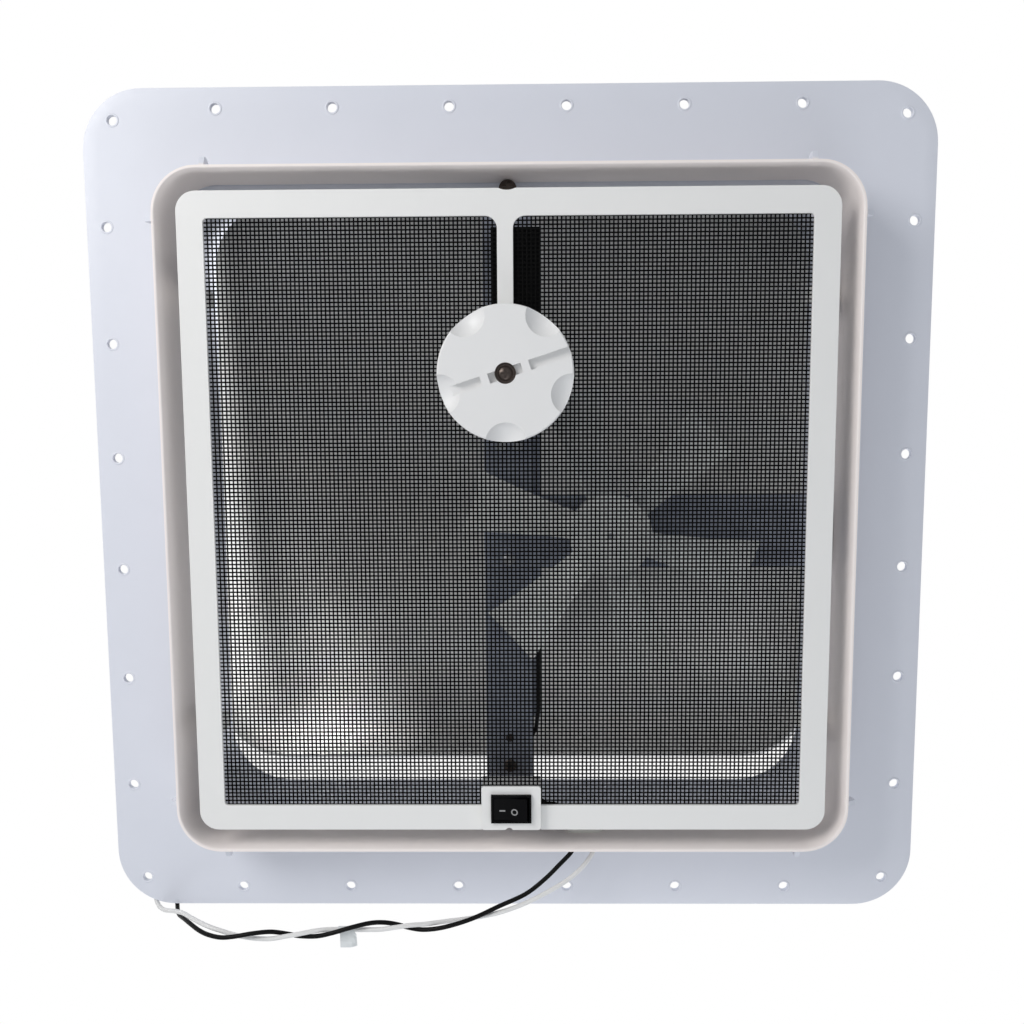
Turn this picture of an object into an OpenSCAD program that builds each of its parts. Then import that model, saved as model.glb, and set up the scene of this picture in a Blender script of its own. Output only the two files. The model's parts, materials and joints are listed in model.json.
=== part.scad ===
// Caravan roof vent: roof flange and curb, tilting lid with a worm lift, insect screen and fan.
// Millimetres. Origin: centre of the opening on the flange's underside, which is the roof plane.
// +Z is up out of the roof, -Y is the hinge side, the fan stands at +X.

/* [Roof flange] */
// Width of the square flange
flange_w = 450; // [430:1:480]
// Thickness of the flange
flange_t = 2.5; // [2:0.1:4]
// Corner radius of the flange
flange_r = 32; // [20:1:45]
// Width of the sloping band along the flange's edge
edge_band = 7; // [4:0.5:7.5]
// How far that band slopes up at the flange's edge
edge_step = 0.9; // [0.4:0.1:1.2]
// Diameter of the roof screw holes
hole_d = 5.2; // [4:0.1:6]
// Distance of the hole rows from the flange's edge
hole_edge = 11; // [10:0.5:14]
// Distance of a row's end hole from the row of the next side
hole_inset = 60.25; // [50:0.25:70]
// Distance of the corner holes from the flange's edges
corner_edge = 16.5; // [15.5:0.5:20]

/* [Collar and curb] */
// Outer width of the collar that hangs into the roof opening
collar_w = 354; // [346:1:360]
// Outer corner radius of the collar
collar_r = 23; // [16:1:28]
// Wall of the collar
collar_wall = 2.3; // [1.8:0.1:3]
// Depth of the collar under the roof plane
collar_depth = 35; // [30:1:60]
// Width of the ledge between the collar and the throat, the clear square above the screen
ledge_w = 6.7; // [6.5:0.1:9]
// Corner radius of the throat
throat_r = 34; // [26:1:40]
// Wall of the curb
curb_wall = 2.5; // [2:0.1:3.5]
// How far the curb stands back from the throat's edge
curb_back = 10.5; // [8:0.5:12]
// Inner corner radius of the curb
curb_r = 37; // [32:1:44]
// Height of the curb over the roof plane
curb_h = 70; // [66:0.5:74]
// Reach of the lip round the curb's top
curb_lip = 4; // [3.5:0.25:4.5]
// Thickness of that lip
lip_t = 2.5; // [2:0.1:4]
// Width of the flat on the collar's rim
rim_land = 1; // [0.8:0.1:1.4]
// Height of the curve from that flat into the collar
rim_curve = 6; // [4:0.5:8]
// Reach of the small ribs on the collar's outside
gusset_reach = 5; // [3:0.5:8]
// Thickness of such a rib
gusset_t = 2.6; // [1.5:0.1:3]
// Distance of the ribs from the collar's corner
gusset_end = 25; // [24:1:50]
// Height of the seal on the curb
seal_h = 4.5; // [3:0.5:4.5]
// Width of the seal
seal_w = 3; // [2:0.25:3.25]

/* [Lid] */
// Clear space between the curb's lip and the skirt, lid closed
lid_gap = 12.5; // [12:0.5:16]
// Corner radius of the skirt
lid_r = 40; // [30:1:46]
// Wall of the lid
lid_wall = 2.5; // [2:0.1:3.5]
// Distance from the skirt in to the crease, where the sides meet the facets
crease_in = 21; // [16:0.5:21.5]
// Width of the flat top
plateau_w = 136; // [115:1:160]
// Height of the skirt's lower edge, lid closed
skirt_low = 28; // [26:0.5:29]
// How far under the curb's top the skirt turns into the sloping sides, lid closed
shoulder_under = 10; // [8:0.5:10.5]
// Rise of the crease over the curb's top, lid closed
crease_over = 16; // [15.5:0.5:22]
// Rise of the flat top over the curb's top, lid closed
plateau_over = 28; // [26:0.5:40]
// How far the lid stands open at rest, in degrees
lid_open = 15; // [5:1:30]

/* [Hinge] */
// Diameter of the hinge pins
hinge_pin_d = 4; // [3:0.1:5]
// Outer diameter of the knuckles
knuckle_d = 10; // [8:0.5:11]
// Height of the hinge axis
hinge_z = 32; // [30:0.5:34]
// Distance of the hinge axis from the skirt
hinge_gap = 7; // [6.5:0.5:9]
// Place of each hinge along the lid's edge
hinge_x = 123; // [80:1:125]
// Length of the middle knuckle
knuckle_l = 14; // [10:1:18]
// Length of an outer knuckle
leaf_knuckle_l = 9; // [6:0.5:12]
// Height of the hinge leaf on the skirt
leaf_h = 12; // [10:0.5:16]
// Thickness of the hinge leaf
leaf_t = 1.5; // [1:0.1:1.8]

/* [Crossbar and motor bracket] */
// Middle of the crossbar along X
bar_x = -0.9; // [-2:0.1:1]
// Width of the crossbar's web
bar_w = 26; // [24:0.5:28]
// Sheet thickness of both channels
sheet = 1.5; // [1.2:0.1:1.8]
// Height of the crossbar's side walls
bar_h = 8; // [5:0.5:12]
// Height of the crossbar's outer lip
lip_z = 6; // [4:0.5:8]
// Width of the crossbar's outer lip
lip_w = 5; // [3:0.5:7]
// Width of the motor bracket
arm_bar_w = 40; // [36:0.5:44]
// Width of the motor bracket's raised middle
rib_w = 21; // [16:0.5:24]
// Rise of the motor bracket's middle
rib_h = 3; // [2:0.25:4]

/* [Fan] */
// Fan axis along X
fan_x = 53; // [50:0.5:58]
// Fan axis along Y
fan_y = 10; // [4:0.5:14]
// Tip radius of the blades
fan_r = 76; // [60:1:80]
// Radius of the hub
hub_r = 21.5; // [18:0.5:24]
// Number of blades
blades = 6; // [4:1:8]
// Blade chord at the hub
root_chord = 16; // [12:1:19]
// Blade chord at the tip
tip_chord = 35; // [25:1:40]
// Blade angle at the hub, in degrees
root_pitch = 36; // [25:1:40]
// Blade angle at the tip, in degrees
tip_pitch = 21; // [14:1:23]
// Thickness of a blade
blade_t = 1.6; // [1.2:0.1:2.5]
// Height of the hub's front face
hub_front = -25; // [-26:0.5:-23]
// Depth of the hub
hub_h = 14; // [10:0.5:15]
// Diameter of the motor
motor_d = 36; // [30:0.5:38]
// Length of the motor
motor_l = 34; // [25:1:40]
// Diameter of the motor shaft
motor_shaft_d = 3.2; // [2.5:0.1:5]

/* [Screen] */
// Gap between the collar and the screen frame
frame_gap = 10.3; // [9.5:0.1:13]
// Width of the frame's border
frame_border = 13.4; // [12:0.1:16]
// Outer corner radius of the frame
frame_r = 10; // [6:1:14]
// Front of the frame under the roof plane
frame_front = 36; // [33:0.5:38]
// Thickness of the frame
frame_t = 5; // [4:0.25:6]
// Width of the T-bar
tbar_w = 8; // [6:0.5:10]
// Radius where the T-bar meets the frame
tbar_r = 6; // [3:0.5:8]
// Thickness of the T-bar, and of the frame's lip in front of the net
tbar_t = 1.6; // [1.2:0.1:2.5]
// Diameter of the ring behind the knob
ring_d = 30; // [24:1:40]
// Number of gaps along each side of the net
net_gaps = 17; // [8:1:17]
// Width of a net strand
net_strand = 1.4; // [0.8:0.1:2]
// Thickness of the net
net_t = 0.6; // [0.4:0.1:1]
// How far the net laps behind the frame
net_lap = 2; // [1:0.25:2.25]

/* [Crank and lift] */
// Crank axis along X
knob_x = -1.2; // [-2:0.1:0]
// Crank axis along Y
knob_y = -73.5; // [-78:0.5:-70]
// Diameter of the knob
knob_d = 67; // [55:1:75]
// Thickness of the knob
knob_h = 13.5; // [11:0.5:16]
// Gap between the knob and the screen frame
knob_gap = 2; // [1:0.25:4]
// Diameter of the crank shaft
shaft_d = 8; // [7:0.25:8]
// Diameter of the shaft's top journal
journal_d = 6; // [4:0.25:6]
// Tooth module of the worm drive
tooth_m = 1; // [1:0.05:1.1]
// Teeth of the worm wheel
wheel_teeth = 30; // [28:1:32]
// Pitch radius of the worm
worm_r = 5.5; // [5.4:0.1:6]
// Turns of worm thread
worm_turns = 5; // [4:1:5]
// Width of the worm wheel
wheel_w = 4; // [3:0.25:4.5]
// Height of the arm's pivot
pivot_z = 20; // [19.5:0.25:21]
// Diameter of the arm's axle
axle_d = 6; // [4:0.25:7]
// Width of the lift arm
arm_w = 10; // [8:0.5:11]
// Thickness of the lift arm
arm_t = 4; // [3:0.25:4]
// Slope of the lid's track, lid closed, in degrees
track_slope = 4; // [3:0.25:5]
// Diameter of the track roller
roller_d = 10; // [8:0.5:11]
// Width of the track roller
roller_w = 6; // [4:0.5:7]
// Diameter of the roller's pin
roller_pin_d = 4; // [3:0.25:5]
// Lid travel, closed to full open, in degrees
lid_travel = 50; // [30:1:50]

/* [Switch] */
// Middle of the switch along X
switch_x = 0.2; // [-1:0.1:1.5]
// Distance of the switch's middle from the frame's edge
switch_edge = 13.4; // [13:0.1:14]
// Width of the switch housing
housing_w = 31; // [28:0.5:34]
// Depth of the switch housing along Y
housing_d = 23.6; // [22:0.2:24]
// How far the housing stands in front of the frame
housing_proud = 4; // [2:0.25:6]
// Width of the switch bezel
bezel_w = 21; // [19:0.5:23]
// Depth of the switch bezel along Y
bezel_d = 15; // [13:0.5:16]
// Width of the rocker
rocker_w = 17.6; // [14:0.2:17.8]
// Depth of the rocker along Y
rocker_d = 12; // [9:0.2:12.2]
// Rest tilt of the rocker, in degrees
rocker_tilt = 9; // [6:0.5:10]

/* [Leads] */
// Diameter of a supply lead
lead_d = 2.4; // [1.6:0.1:2.6]
// Diameter of the bare ends
tip_d = 1.4; // [1:0.1:1.6]
// Length of the bare ends
tip_l = 8; // [5:0.5:12]

/* [Fits] */
// Running clearance of a pin or shaft, on the radius
run = 0.05; // [0.02:0.01:0.08]
// Clearance of a fixed fit, on the radius
snug = 0.02; // [0.01:0.01:0.04]
// Free gap beside moving pieces
free = 0.4; // [0.3:0.05:0.6]

/* [Hidden] */
$fn = 64;
eps = 0.01;

white_plastic = [0.90, 0.90, 0.91];
galvanised = [0.52, 0.55, 0.62];
steel = [0.66, 0.67, 0.69];
black_plastic = [0.06, 0.06, 0.07];
dark_screw = [0.22, 0.19, 0.17];

// Flange, collar and curb
hole_count = 6;
hole_row = flange_w / 2 - hole_edge;
corner_hole = flange_w / 2 - corner_edge;
hole_pitch = 2 * (hole_row - hole_inset) / (hole_count - 1);
collar_in = collar_w / 2 - collar_wall;
throat_w = 2 * (collar_in - ledge_w);
curb_out = throat_w / 2 + curb_back + curb_wall;
gusset_at = collar_w / 2 - gusset_end;
lid_w = 2 * (curb_out + curb_lip + lid_gap + lid_wall);
crease_w = lid_w - 2 * crease_in;
shoulder_z = curb_h - shoulder_under;
crease_z = curb_h + crease_over;
plateau_z = curb_h + plateau_over;
leaf_rivet_z = skirt_low + leaf_h / 2;
frame_w = 2 * (collar_in - frame_gap);
frame_open = frame_w - 2 * frame_border;
switch_y = frame_w / 2 - switch_edge;

// Hinge and lift: the hinge axis, the arm's pivot and the roller make a triangle with two equal
// sides, so the arm turns exactly twice as far as the lid
lid_half = lid_w / 2;
hinge_y = -lid_half - hinge_gap;
wheel_r = tooth_m * wheel_teeth / 2;
pivot_y = knob_y + wheel_r + worm_r;
arm_l = norm([pivot_y - hinge_y, pivot_z - hinge_z]);
hinge_to_pivot = atan2(pivot_z - hinge_z, pivot_y - hinge_y);
track_angle = track_slope - hinge_to_pivot;
arm_closed = track_slope + track_angle;
arm_rest = arm_closed + 2 * lid_open;
roller_near = 2 * arm_l * cos(track_angle + lid_travel);
roller_far = 2 * arm_l * cos(track_angle);
arm_x = knob_x + wheel_w / 2 + 1;
roller_x = arm_x + arm_t + 1;
track_gap = roller_d / 2 + 0.3;
track_back = roller_x + roller_w + 0.6;
track_ends = 11;
leaf_half = knuckle_l / 2 + free + leaf_knuckle_l + 8;
foot_z = plateau_z - lid_wall;
foot_at = plateau_w / 2 - 8;

// Crossbar: its ends lie on two tabs that reach into the throat
seat = 12;
bar_left = bar_x - bar_w / 2;
bar_right = bar_x + bar_w / 2;
bar_half = throat_w / 2 - 2.2;
bar_screw_y = throat_w / 2 - seat / 2;
wall_half = throat_w / 2 - seat - 5;
lip_end = throat_w / 2 - 52;
saddle_y = [throat_w / 2 - 41.7, throat_w / 2 - 25.8];

// Motor bracket: its flanges lie under the crossbar's web
rib_face = -2 * sheet - rib_h;
flange_face = -2 * sheet;
bracket_end = throat_w / 2 + 4.5;
bracket_screw_x = throat_w / 2 - seat / 3;
flange_mid = (arm_bar_w + rib_w) / 4;
motor_z = -sheet;
boss_d = 10;
motor_screw_d = 3;

// Operator
plate_t = 2;
bracket_in_l = knob_x - 7;
bracket_in_r = arm_x + arm_t + 2;
bridge_z = pivot_z + 12;
bridge_l = 17;
bridge_y0 = knob_y - 9;
bracket_y1 = pivot_y + 12.5;
bracket_foot = 9;
bush_r = shaft_d / 2 + 1.2;
cover_h = 4.5;
lead = PI * tooth_m;

// Knob and shaft
knob_back = -frame_front - knob_gap;
knob_front = knob_back - knob_h;
shaft_low = knob_front + 4;
recess_d = 10.4;
recess_h = 3;
clip_t = 1;

// Screen
frame_back = -frame_front + frame_t;
net_front = -frame_front + tbar_t;
net_half = frame_open / 2 + net_lap;
net_span = frame_open / net_gaps;
leg = 5;
leg_w = 8;
leg_x = frame_w / 2 - leg - 1.5;
leg_y = frame_w * 0.35;
foot_t = 4;
notch_r = 9.5;
ledge_head_d = 9.2;
ledge_screw_y = -collar_in + ledge_head_d / 2 + 0.2;
ledge_screw_z = -8;

// Switch
housing_front = -frame_front - housing_proud;
housing_back = -20;
bezel_t = 1.6;
bezel_face = housing_front - bezel_t;
switch_back = -19;
body_w = bezel_w - 0.8;
body_d = bezel_d - 0.8;
rocker_axis_z = housing_front + 1;
rocker_gap = 0.75;
rocker_deep = 2.5;

// Leads: points chosen by hand, in millimetres. Those outside follow the collar and the flange's
// corner, and those inside follow the collar
lead_z = -12;
black_x = 34.5;
white_x = 45.5;
grommet_y = collar_w / 2 + 2.2;
collar_shift = collar_w / 2 - 177;
flange_shift = flange_w / 2 - 225;
function share(a, b, v) = min(1, max(0, (v - a) / (b - a)));
function outside(p) = let (t = share(185, 215, p[1]))
  [p[0] - flange_shift * share(-100, -160, p[0]), p[1] + (1 - t) * collar_shift + t * flange_shift, p[2]];
function inside(p) = [p[0], p[1] + collar_shift * share(45, 105, p[1]), p[2]];
black_points = [[34.5, 179.2, -12], [34.5, 181.4, -12], [33.9, 183.8, -14.6], [32.2, 186, -17.6],
  [26, 191.2, -20.5],
  [18.4, 197.3, -24], [7.7, 204, -28], [-6.7, 208.9, -32], [-20.9, 213.7, -36], [-35, 217, -38.5],
  [-46, 219.3, -37.2], [-54, 219.4, -35.4], [-62, 217.8, -34.4], [-69, 216.5, -35], [-75.8, 215.9, -36.9],
  [-85, 217, -39.2],
  [-94.6, 219.8, -39.4], [-103.7, 222.8, -37.6], [-113.5, 224.6, -34.4], [-121, 224, -33.2],
  [-129.3, 222, -34.8], [-138.5, 221.8, -36.8], [-148.1, 223.4, -37], [-156, 224.8, -35.6],
  [-164, 225.2, -32.2], [-170.5, 225, -28], [-177, 224.8, -22], [-183, 225.6, -15], [-188.5, 227.4, -7.5],
  [-192, 228.4, -0.5], [-194, 226.4, 4.4], [-195, 220.8, 5.8], [-194.5, 213.2, 5], [-192, 205.2, 4],
  [-186, 198.7, 3.8], [-177, 194.7, 3.8], [-165, 192.2, 3.8], [-152, 191.2, 3.8]];
white_points = [[45.5, 179.2, -12], [45.5, 181.4, -12], [45.2, 183.8, -14.6], [44, 186.2, -17.6],
  [39.2, 191.7, -20.5],
  [31.7, 197.1, -24], [21.9, 201.7, -27.6], [7.7, 207.8, -30.6], [-6.7, 212.4, -32.2], [-21.1, 215.2, -32.6],
  [-35.3, 216.4, -34], [-46, 216.4, -36.8], [-54, 216.2, -38.4], [-62, 217.4, -38.4], [-69, 218.7, -38],
  [-75.8, 219.7, -36.6],
  [-85.8, 220.4, -35.4], [-95.4, 220.2, -35.4], [-103.8, 220.2, -36.6], [-113, 221.4, -37.8],
  [-121, 223.2, -37.2], [-129.5, 225.6, -35.4], [-139.7, 226.4, -33.4], [-149.5, 225, -32.6],
  [-157, 223.2, -31.8], [-164.2, 221.8, -30], [-170.5, 221.2, -26.6], [-177, 221.2, -21.6],
  [-184, 222.4, -14.6], [-191.5, 224.8, -8], [-199, 227.4, -2], [-204.6, 227.4, 3.6], [-207.5, 221.6, 6.4],
  [-207, 211.7, 5], [-203, 202.7, 4], [-195, 194.7, 3.8], [-184, 188.7, 3.8], [-170, 185.2, 3.8]];
black_route = [for (p = black_points) outside(p)];
white_route = [for (p = white_points) outside(p)];
// Leads held inside, from the grommet to the switch and the motor
sleeve_y = 3;
sleeve_z = -13.5;
tab_x = 8;
tab_y = 5.5;
tab_z = motor_z + motor_l + 4;
switch_points = [[switch_x - 4, 154, sleeve_z], [switch_x - 4, 155.8, sleeve_z], [-6.2, 158.6, -12.4],
  [-10.6, 160, -9.4], [-14.4, 160, -5.4], [-15.7, 159, -0.8], [-15.3, 156.4, 3.4], [-12.8, 153.2, 4.4],
  [-9.4, 150.4, 3.8], [-7, 146, 3.2], [-6, 141, 2.8], [-3.6, 136, 2.6], [0.6, 132.5, 2.6], [4, 127.5, 2.6],
  [5, 120, 2.6], [5, 100, 2.4], [5, 76, 2.4], [5, 57, 2.8], [5.2, 49, 6.6], [7.2, 44, 14],
  [13, 41.5, 22.5], [22.5, 39.5, 31], [36, 37, 37.6], [50, 33, 39.6], [58.4, 28.6, 38.6],
  [fan_x + tab_x, fan_y + 12, tab_z], [fan_x + tab_x, fan_y + tab_y, tab_z]];
supply_black_points = [[black_x, 172.7, lead_z], [34.5, 168.5, -12], [31, 163.5, -12.6], [23.5, 159.8, -13.2],
  [13.5, 159, -13.6], [6.5, 157.8, -13.6], [switch_x + 4, 155.7, sleeve_z], [switch_x + 4, 154, sleeve_z]];
supply_white_points = [[white_x, 172.7, lead_z], [45.5, 169.8, -12], [42.8, 166.6, -10.6], [36, 165, -8.4],
  [27, 164, -7.6], [19.8, 162.8, -6.4], [16, 161.2, -3.6], [14.6, 158.6, 0], [13.8, 155.2, 3],
  [11.4, 150.6, 3.6], [9.6, 144, 3.2], [9.6, 134, 3.2], [10.9, 128, 3.2], [13.8, 122, 3.2],
  [15.1, 112, 3.2], [15.1, 84, 3.2], [15.4, 62, 3.2],
  [18.1, 52.5, 3.6], [21.1, 46, 7], [23.6, 40.5, 14], [27.1, 36.5, 22], [32.6, 32.5, 30], [39, 27.5, 35.2],
  [fan_x - tab_x, fan_y + 11, tab_z], [fan_x - tab_x, fan_y + tab_y, tab_z]];
switch_lead = [for (p = switch_points) inside(p)];
supply_black = [for (p = supply_black_points) inside(p)];
supply_white = [for (p = supply_white_points) inside(p)];

function unit(v) = v / norm(v);
function route_dir(p, i) = unit(p[min(i + 1, len(p) - 1)] - p[max(i - 1, 0)]);
// Two directions square to a route's heading
function side_of(d) = unit(cross(d, abs(d[2]) > 0.9 ? [1, 0, 0] : [0, 0, 1]));
function ring(c, d, r, n) = let (a = side_of(d), b = cross(d, a))
  [for (k = [0 : n - 1]) c + r * (cos(360 * k / n) * a + sin(360 * k / n) * b)];
// Rounded square of half width h and corner radius r, n steps to a corner
function rounded(h, r, z, n) = [for (q = [0 : 3]) for (k = [0 : n])
  let (a = 90 * q + 90 * k / n, s = [[1, 1], [-1, 1], [-1, -1], [1, -1]][q])
  [s[0] * (h - r) + r * cos(a), s[1] * (h - r) + r * sin(a), z]];

// Triangles that join rings of n points, with flat ends
module loft(rings) {
  n = len(rings[0]);
  m = len(rings);
  points = [for (g = rings) each g];
  sides = [for (i = [0 : m - 2]) for (k = [0 : n - 1]) let (j = (k + 1) % n)
    each [[i * n + k, (i + 1) * n + k, (i + 1) * n + j], [i * n + k, (i + 1) * n + j, i * n + j]]];
  ends = [[for (k = [0 : n - 1]) k], [for (k = [n - 1 : -1 : 0]) (m - 1) * n + k]];
  polyhedron(points, concat(sides, ends));
}

// Round wire along a route
module wire(route, d) {
  loft([for (i = [0 : len(route) - 1]) ring(route[i], route_dir(route, i), d / 2, 8)]);
}

// Flat square with round corners
module rounded_square(w, r) {
  square([w, w - 2 * r], center = true);
  square([w - 2 * r, w], center = true);
  for (sx = [-1, 1], sy = [-1, 1]) translate([sx, sy] * (w / 2 - r)) circle(r);
}

// Square tube wall
module wall_ring(w, r, t, z0, z1) {
  translate([0, 0, z0]) linear_extrude(z1 - z0) difference() {
    rounded_square(w, r);
    rounded_square(w - 2 * t, r - t);
  }
}

module box(x0, x1, y0, y1, z0, z1) {
  translate([x0, y0, z0]) cube([x1 - x0, y1 - y0, z1 - z0]);
}

// Cylinder along X
module rod_x(x0, x1, r) {
  translate([x0, 0, 0]) rotate([0, 90, 0]) cylinder(r = r, h = x1 - x0);
}

// Pan head with a cross recess that faces down, its seat at z = 0
module pan_head(d, h) {
  difference() {
    rotate([180, 0, 0]) rotate_extrude() {
      square([d / 2, h * 0.4]);
      intersection() {
        translate([0, h - d * 0.85]) circle(d * 0.85);
        square([d / 2, h]);
      }
    }
    for (a = [0, 90]) rotate(a) translate([-d * 0.3, -d * 0.07, -h - eps]) cube([d * 0.6, d * 0.14, h * 0.5]);
  }
}

// Turns the lid and its track from closed to the rest pose
module at_lid() {
  translate([0, hinge_y, hinge_z]) rotate([lid_open, 0, 0]) translate([0, -hinge_y, -hinge_z]) children();
}

// Places pieces of the lift arm: origin at the pivot, the arm along +Y
module at_arm() {
  translate([0, pivot_y, pivot_z]) rotate([arm_rest, 0, 0]) children();
}

// Places pieces of the track: origin on the hinge axis, the track along +Y
module at_track() {
  at_lid() translate([0, hinge_y, hinge_z]) rotate([track_slope, 0, 0]) children();
}

module roof_holes() {
  for (q = [0 : 3]) rotate(90 * q) {
    for (k = [0 : hole_count - 1])
      translate([(k - (hole_count - 1) / 2) * hole_pitch, hole_row, -1])
        cylinder(d = hole_d, h = flange_t + 2);
    translate([corner_hole, corner_hole, -1]) cylinder(d = hole_d, h = flange_t + 2);
  }
}

// Small rib on the collar's outside, near its rim
module gusset() {
  low = 2.5 - collar_depth;
  rotate([90, 0, 0]) translate([0, 0, -gusset_t / 2]) linear_extrude(gusset_t)
    polygon([[-eps, low], [gusset_reach, low + 2.5], [gusset_reach, low + 5], [-eps, low + 15]]);
}

// Flange with a band along its edge that slopes up
module flange_slab() {
  difference() {
    hull() {
      linear_extrude(eps) rounded_square(flange_w - 2 * edge_band, flange_r - edge_band);
      translate([0, 0, edge_step]) linear_extrude(flange_t - edge_step) rounded_square(flange_w, flange_r);
    }
    translate([0, 0, -1]) linear_extrude(flange_t + 2) rounded_square(throat_w, throat_r);
  }
}

// Space of the curve from the collar's rim to its inside
module rim_entry() {
  steps = 6;
  depth = collar_wall - rim_land;
  loft([for (k = [-1 : steps + 1]) let (t = min(90, max(0, 90 * k / steps)), over = k > steps ? 0.05 : 0,
      off = depth * (1 - sin(t)) - over, up = rim_curve * (1 - cos(t)) + (k < 0 ? -1 : over))
    rounded(collar_in + off, collar_r - collar_wall + off, up - collar_depth, 16)]);
}

// Arm that carries a hinge's middle knuckle, low enough to pass under the skirt
module hinge_arm() {
  low = skirt_low - 12;
  box(-knuckle_l / 2, knuckle_l / 2, hinge_y - knuckle_d / 2, 1 - curb_out, low, skirt_low - 4);
  box(-knuckle_l / 2, knuckle_l / 2, hinge_y - knuckle_d / 2, hinge_y + knuckle_d / 2, low, hinge_z);
  translate([0, hinge_y, hinge_z]) rod_x(-knuckle_l / 2, knuckle_l / 2, knuckle_d / 2);
}

module base_moulding() {
  color(white_plastic) difference() {
    union() {
      flange_slab();
      wall_ring(collar_w, collar_r, collar_wall, -collar_depth, eps);
      wall_ring(2 * curb_out, curb_r + curb_wall, curb_wall, 0, curb_h);
      wall_ring(2 * (curb_out + curb_lip), curb_r + curb_wall + curb_lip, curb_lip + 1,
        curb_h - lip_t, curb_h);
      for (q = [0 : 3], s = [-1, 1]) rotate(90 * q)
        translate([collar_w / 2, s * gusset_at, 0]) gusset();
      for (s = [-1, 1]) translate([s * hinge_x, 0, 0]) hinge_arm();
      box(throat_w / 2 - seat, bracket_end, fan_y - arm_bar_w / 2, fan_y + arm_bar_w / 2, -sheet, flange_t);
      for (q = [0, 180]) rotate(q) translate([cos(q) * bar_x, 0, 0])
        box(-bar_w / 2, bar_w / 2, throat_w / 2 - seat, throat_w / 2 + 1, 0, flange_t);
      translate([knob_x + 1, ledge_screw_y, ledge_screw_z]) cylinder(d = 6.2, h = 1 - ledge_screw_z);
    }
    roof_holes();
    rim_entry();
    translate([0, hinge_y, hinge_z]) rod_x(-lid_half, lid_half, hinge_pin_d / 2 + snug);
    for (s = [-1, 1]) translate([bar_x, s * bar_screw_y, -1]) cylinder(d = 4.2, h = flange_t + 2);
    for (s = [-1, 1]) translate([bracket_screw_x, fan_y + s * flange_mid, -sheet - 1])
      cylinder(d = 4.2, h = flange_t + sheet + 2);
    translate([knob_x + 1, ledge_screw_y, ledge_screw_z - 1]) cylinder(d = 3.4 + 2 * snug, h = 9);
    translate([(black_x + white_x) / 2, collar_w / 2, lead_z]) grommet_neck(0, collar_wall + 4);
  }
}

// Soft strip on the curb's lip, that the closed lid comes down over
module curb_seal() {
  w = 2 * (curb_out + 0.5 + seal_w);
  r = curb_r + curb_wall + 0.5 + seal_w;
  color([0.16, 0.16, 0.17]) {
    wall_ring(w, r, seal_w, curb_h, curb_h + seal_h * 0.6);
    wall_ring(w - 1, r - 0.5, seal_w - 1, curb_h + seal_h * 0.6 - eps, curb_h + seal_h);
  }
}

module hinge_pins() {
  half = knuckle_l / 2 + free + leaf_knuckle_l + 1;
  color(steel) for (s = [-1, 1]) translate([s * hinge_x, hinge_y, hinge_z]) {
    rod_x(-half, half, hinge_pin_d / 2);
    for (e = [-1, 1]) translate([e * (half + 0.5), 0, 0]) rod_x(-0.5, 0.5, hinge_pin_d / 2 + 1.2);
  }
}

module crossbar() {
  color(galvanised) difference() {
    union() {
      box(bar_left, bar_right, -bar_half, bar_half, -sheet, 0);
      box(bar_left, bar_left + sheet, -wall_half, wall_half, -eps, bar_h);
      box(bar_right - sheet, bar_right, -wall_half, lip_end, -eps, lip_z + sheet);
      box(bar_right - eps, bar_right + lip_w, -wall_half, lip_end, lip_z, lip_z + sheet);
    }
    for (s = [-1, 1]) translate([bar_x, s * bar_screw_y, -sheet - 1]) cylinder(d = 4.4, h = sheet + 2);
    translate([knob_x, knob_y, -sheet - 1]) cylinder(r = bush_r + snug, h = sheet + 2);
    for (y = saddle_y) translate([bar_x, y, -sheet - 1]) cylinder(d = 3.2, h = sheet + 2);
    for (s = [-1, 1]) translate([bar_x, fan_y + s * flange_mid, -sheet - 1]) cylinder(d = 4.2, h = sheet + 2);
    operator_rivet_places() translate([0, 0, -sheet - 1]) cylinder(d = 3.2, h = sheet + 2);
  }
}

module crossbar_screws() {
  color(dark_screw) {
    for (s = [-1, 1]) translate([bar_x, s * bar_screw_y, -sheet]) {
      pan_head(9, 2.8);
      cylinder(d = 4, h = sheet + flange_t + 1.5);
    }
    for (i = [0, 1]) translate([bar_x, saddle_y[i], -sheet]) {
      pan_head(i == 0 ? 4.5 : 7, i == 0 ? 1.2 : 2.2);
      cylinder(d = 3, h = sheet + 4);
    }
  }
}

module shaft_bush() {
  color([0.85, 0.84, 0.80]) translate([knob_x, knob_y, 0]) difference() {
    union() {
      translate([0, 0, -sheet]) cylinder(r = bush_r, h = sheet + plate_t);
      translate([0, 0, plate_t]) cylinder(r = bush_r + 1.5, h = 1);
    }
    translate([0, 0, -sheet - 1]) cylinder(r = shaft_d / 2 + run, h = sheet + plate_t + 3);
  }
}

// The four rivets of the operator bracket's foot
module operator_rivet_places() {
  for (y = [bridge_y0 - bracket_foot / 2, bracket_y1 + bracket_foot / 2], s = [-1, 1])
    translate([(bracket_in_l + bracket_in_r) / 2 + s * 4.5, y, 0]) children();
}

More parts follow.
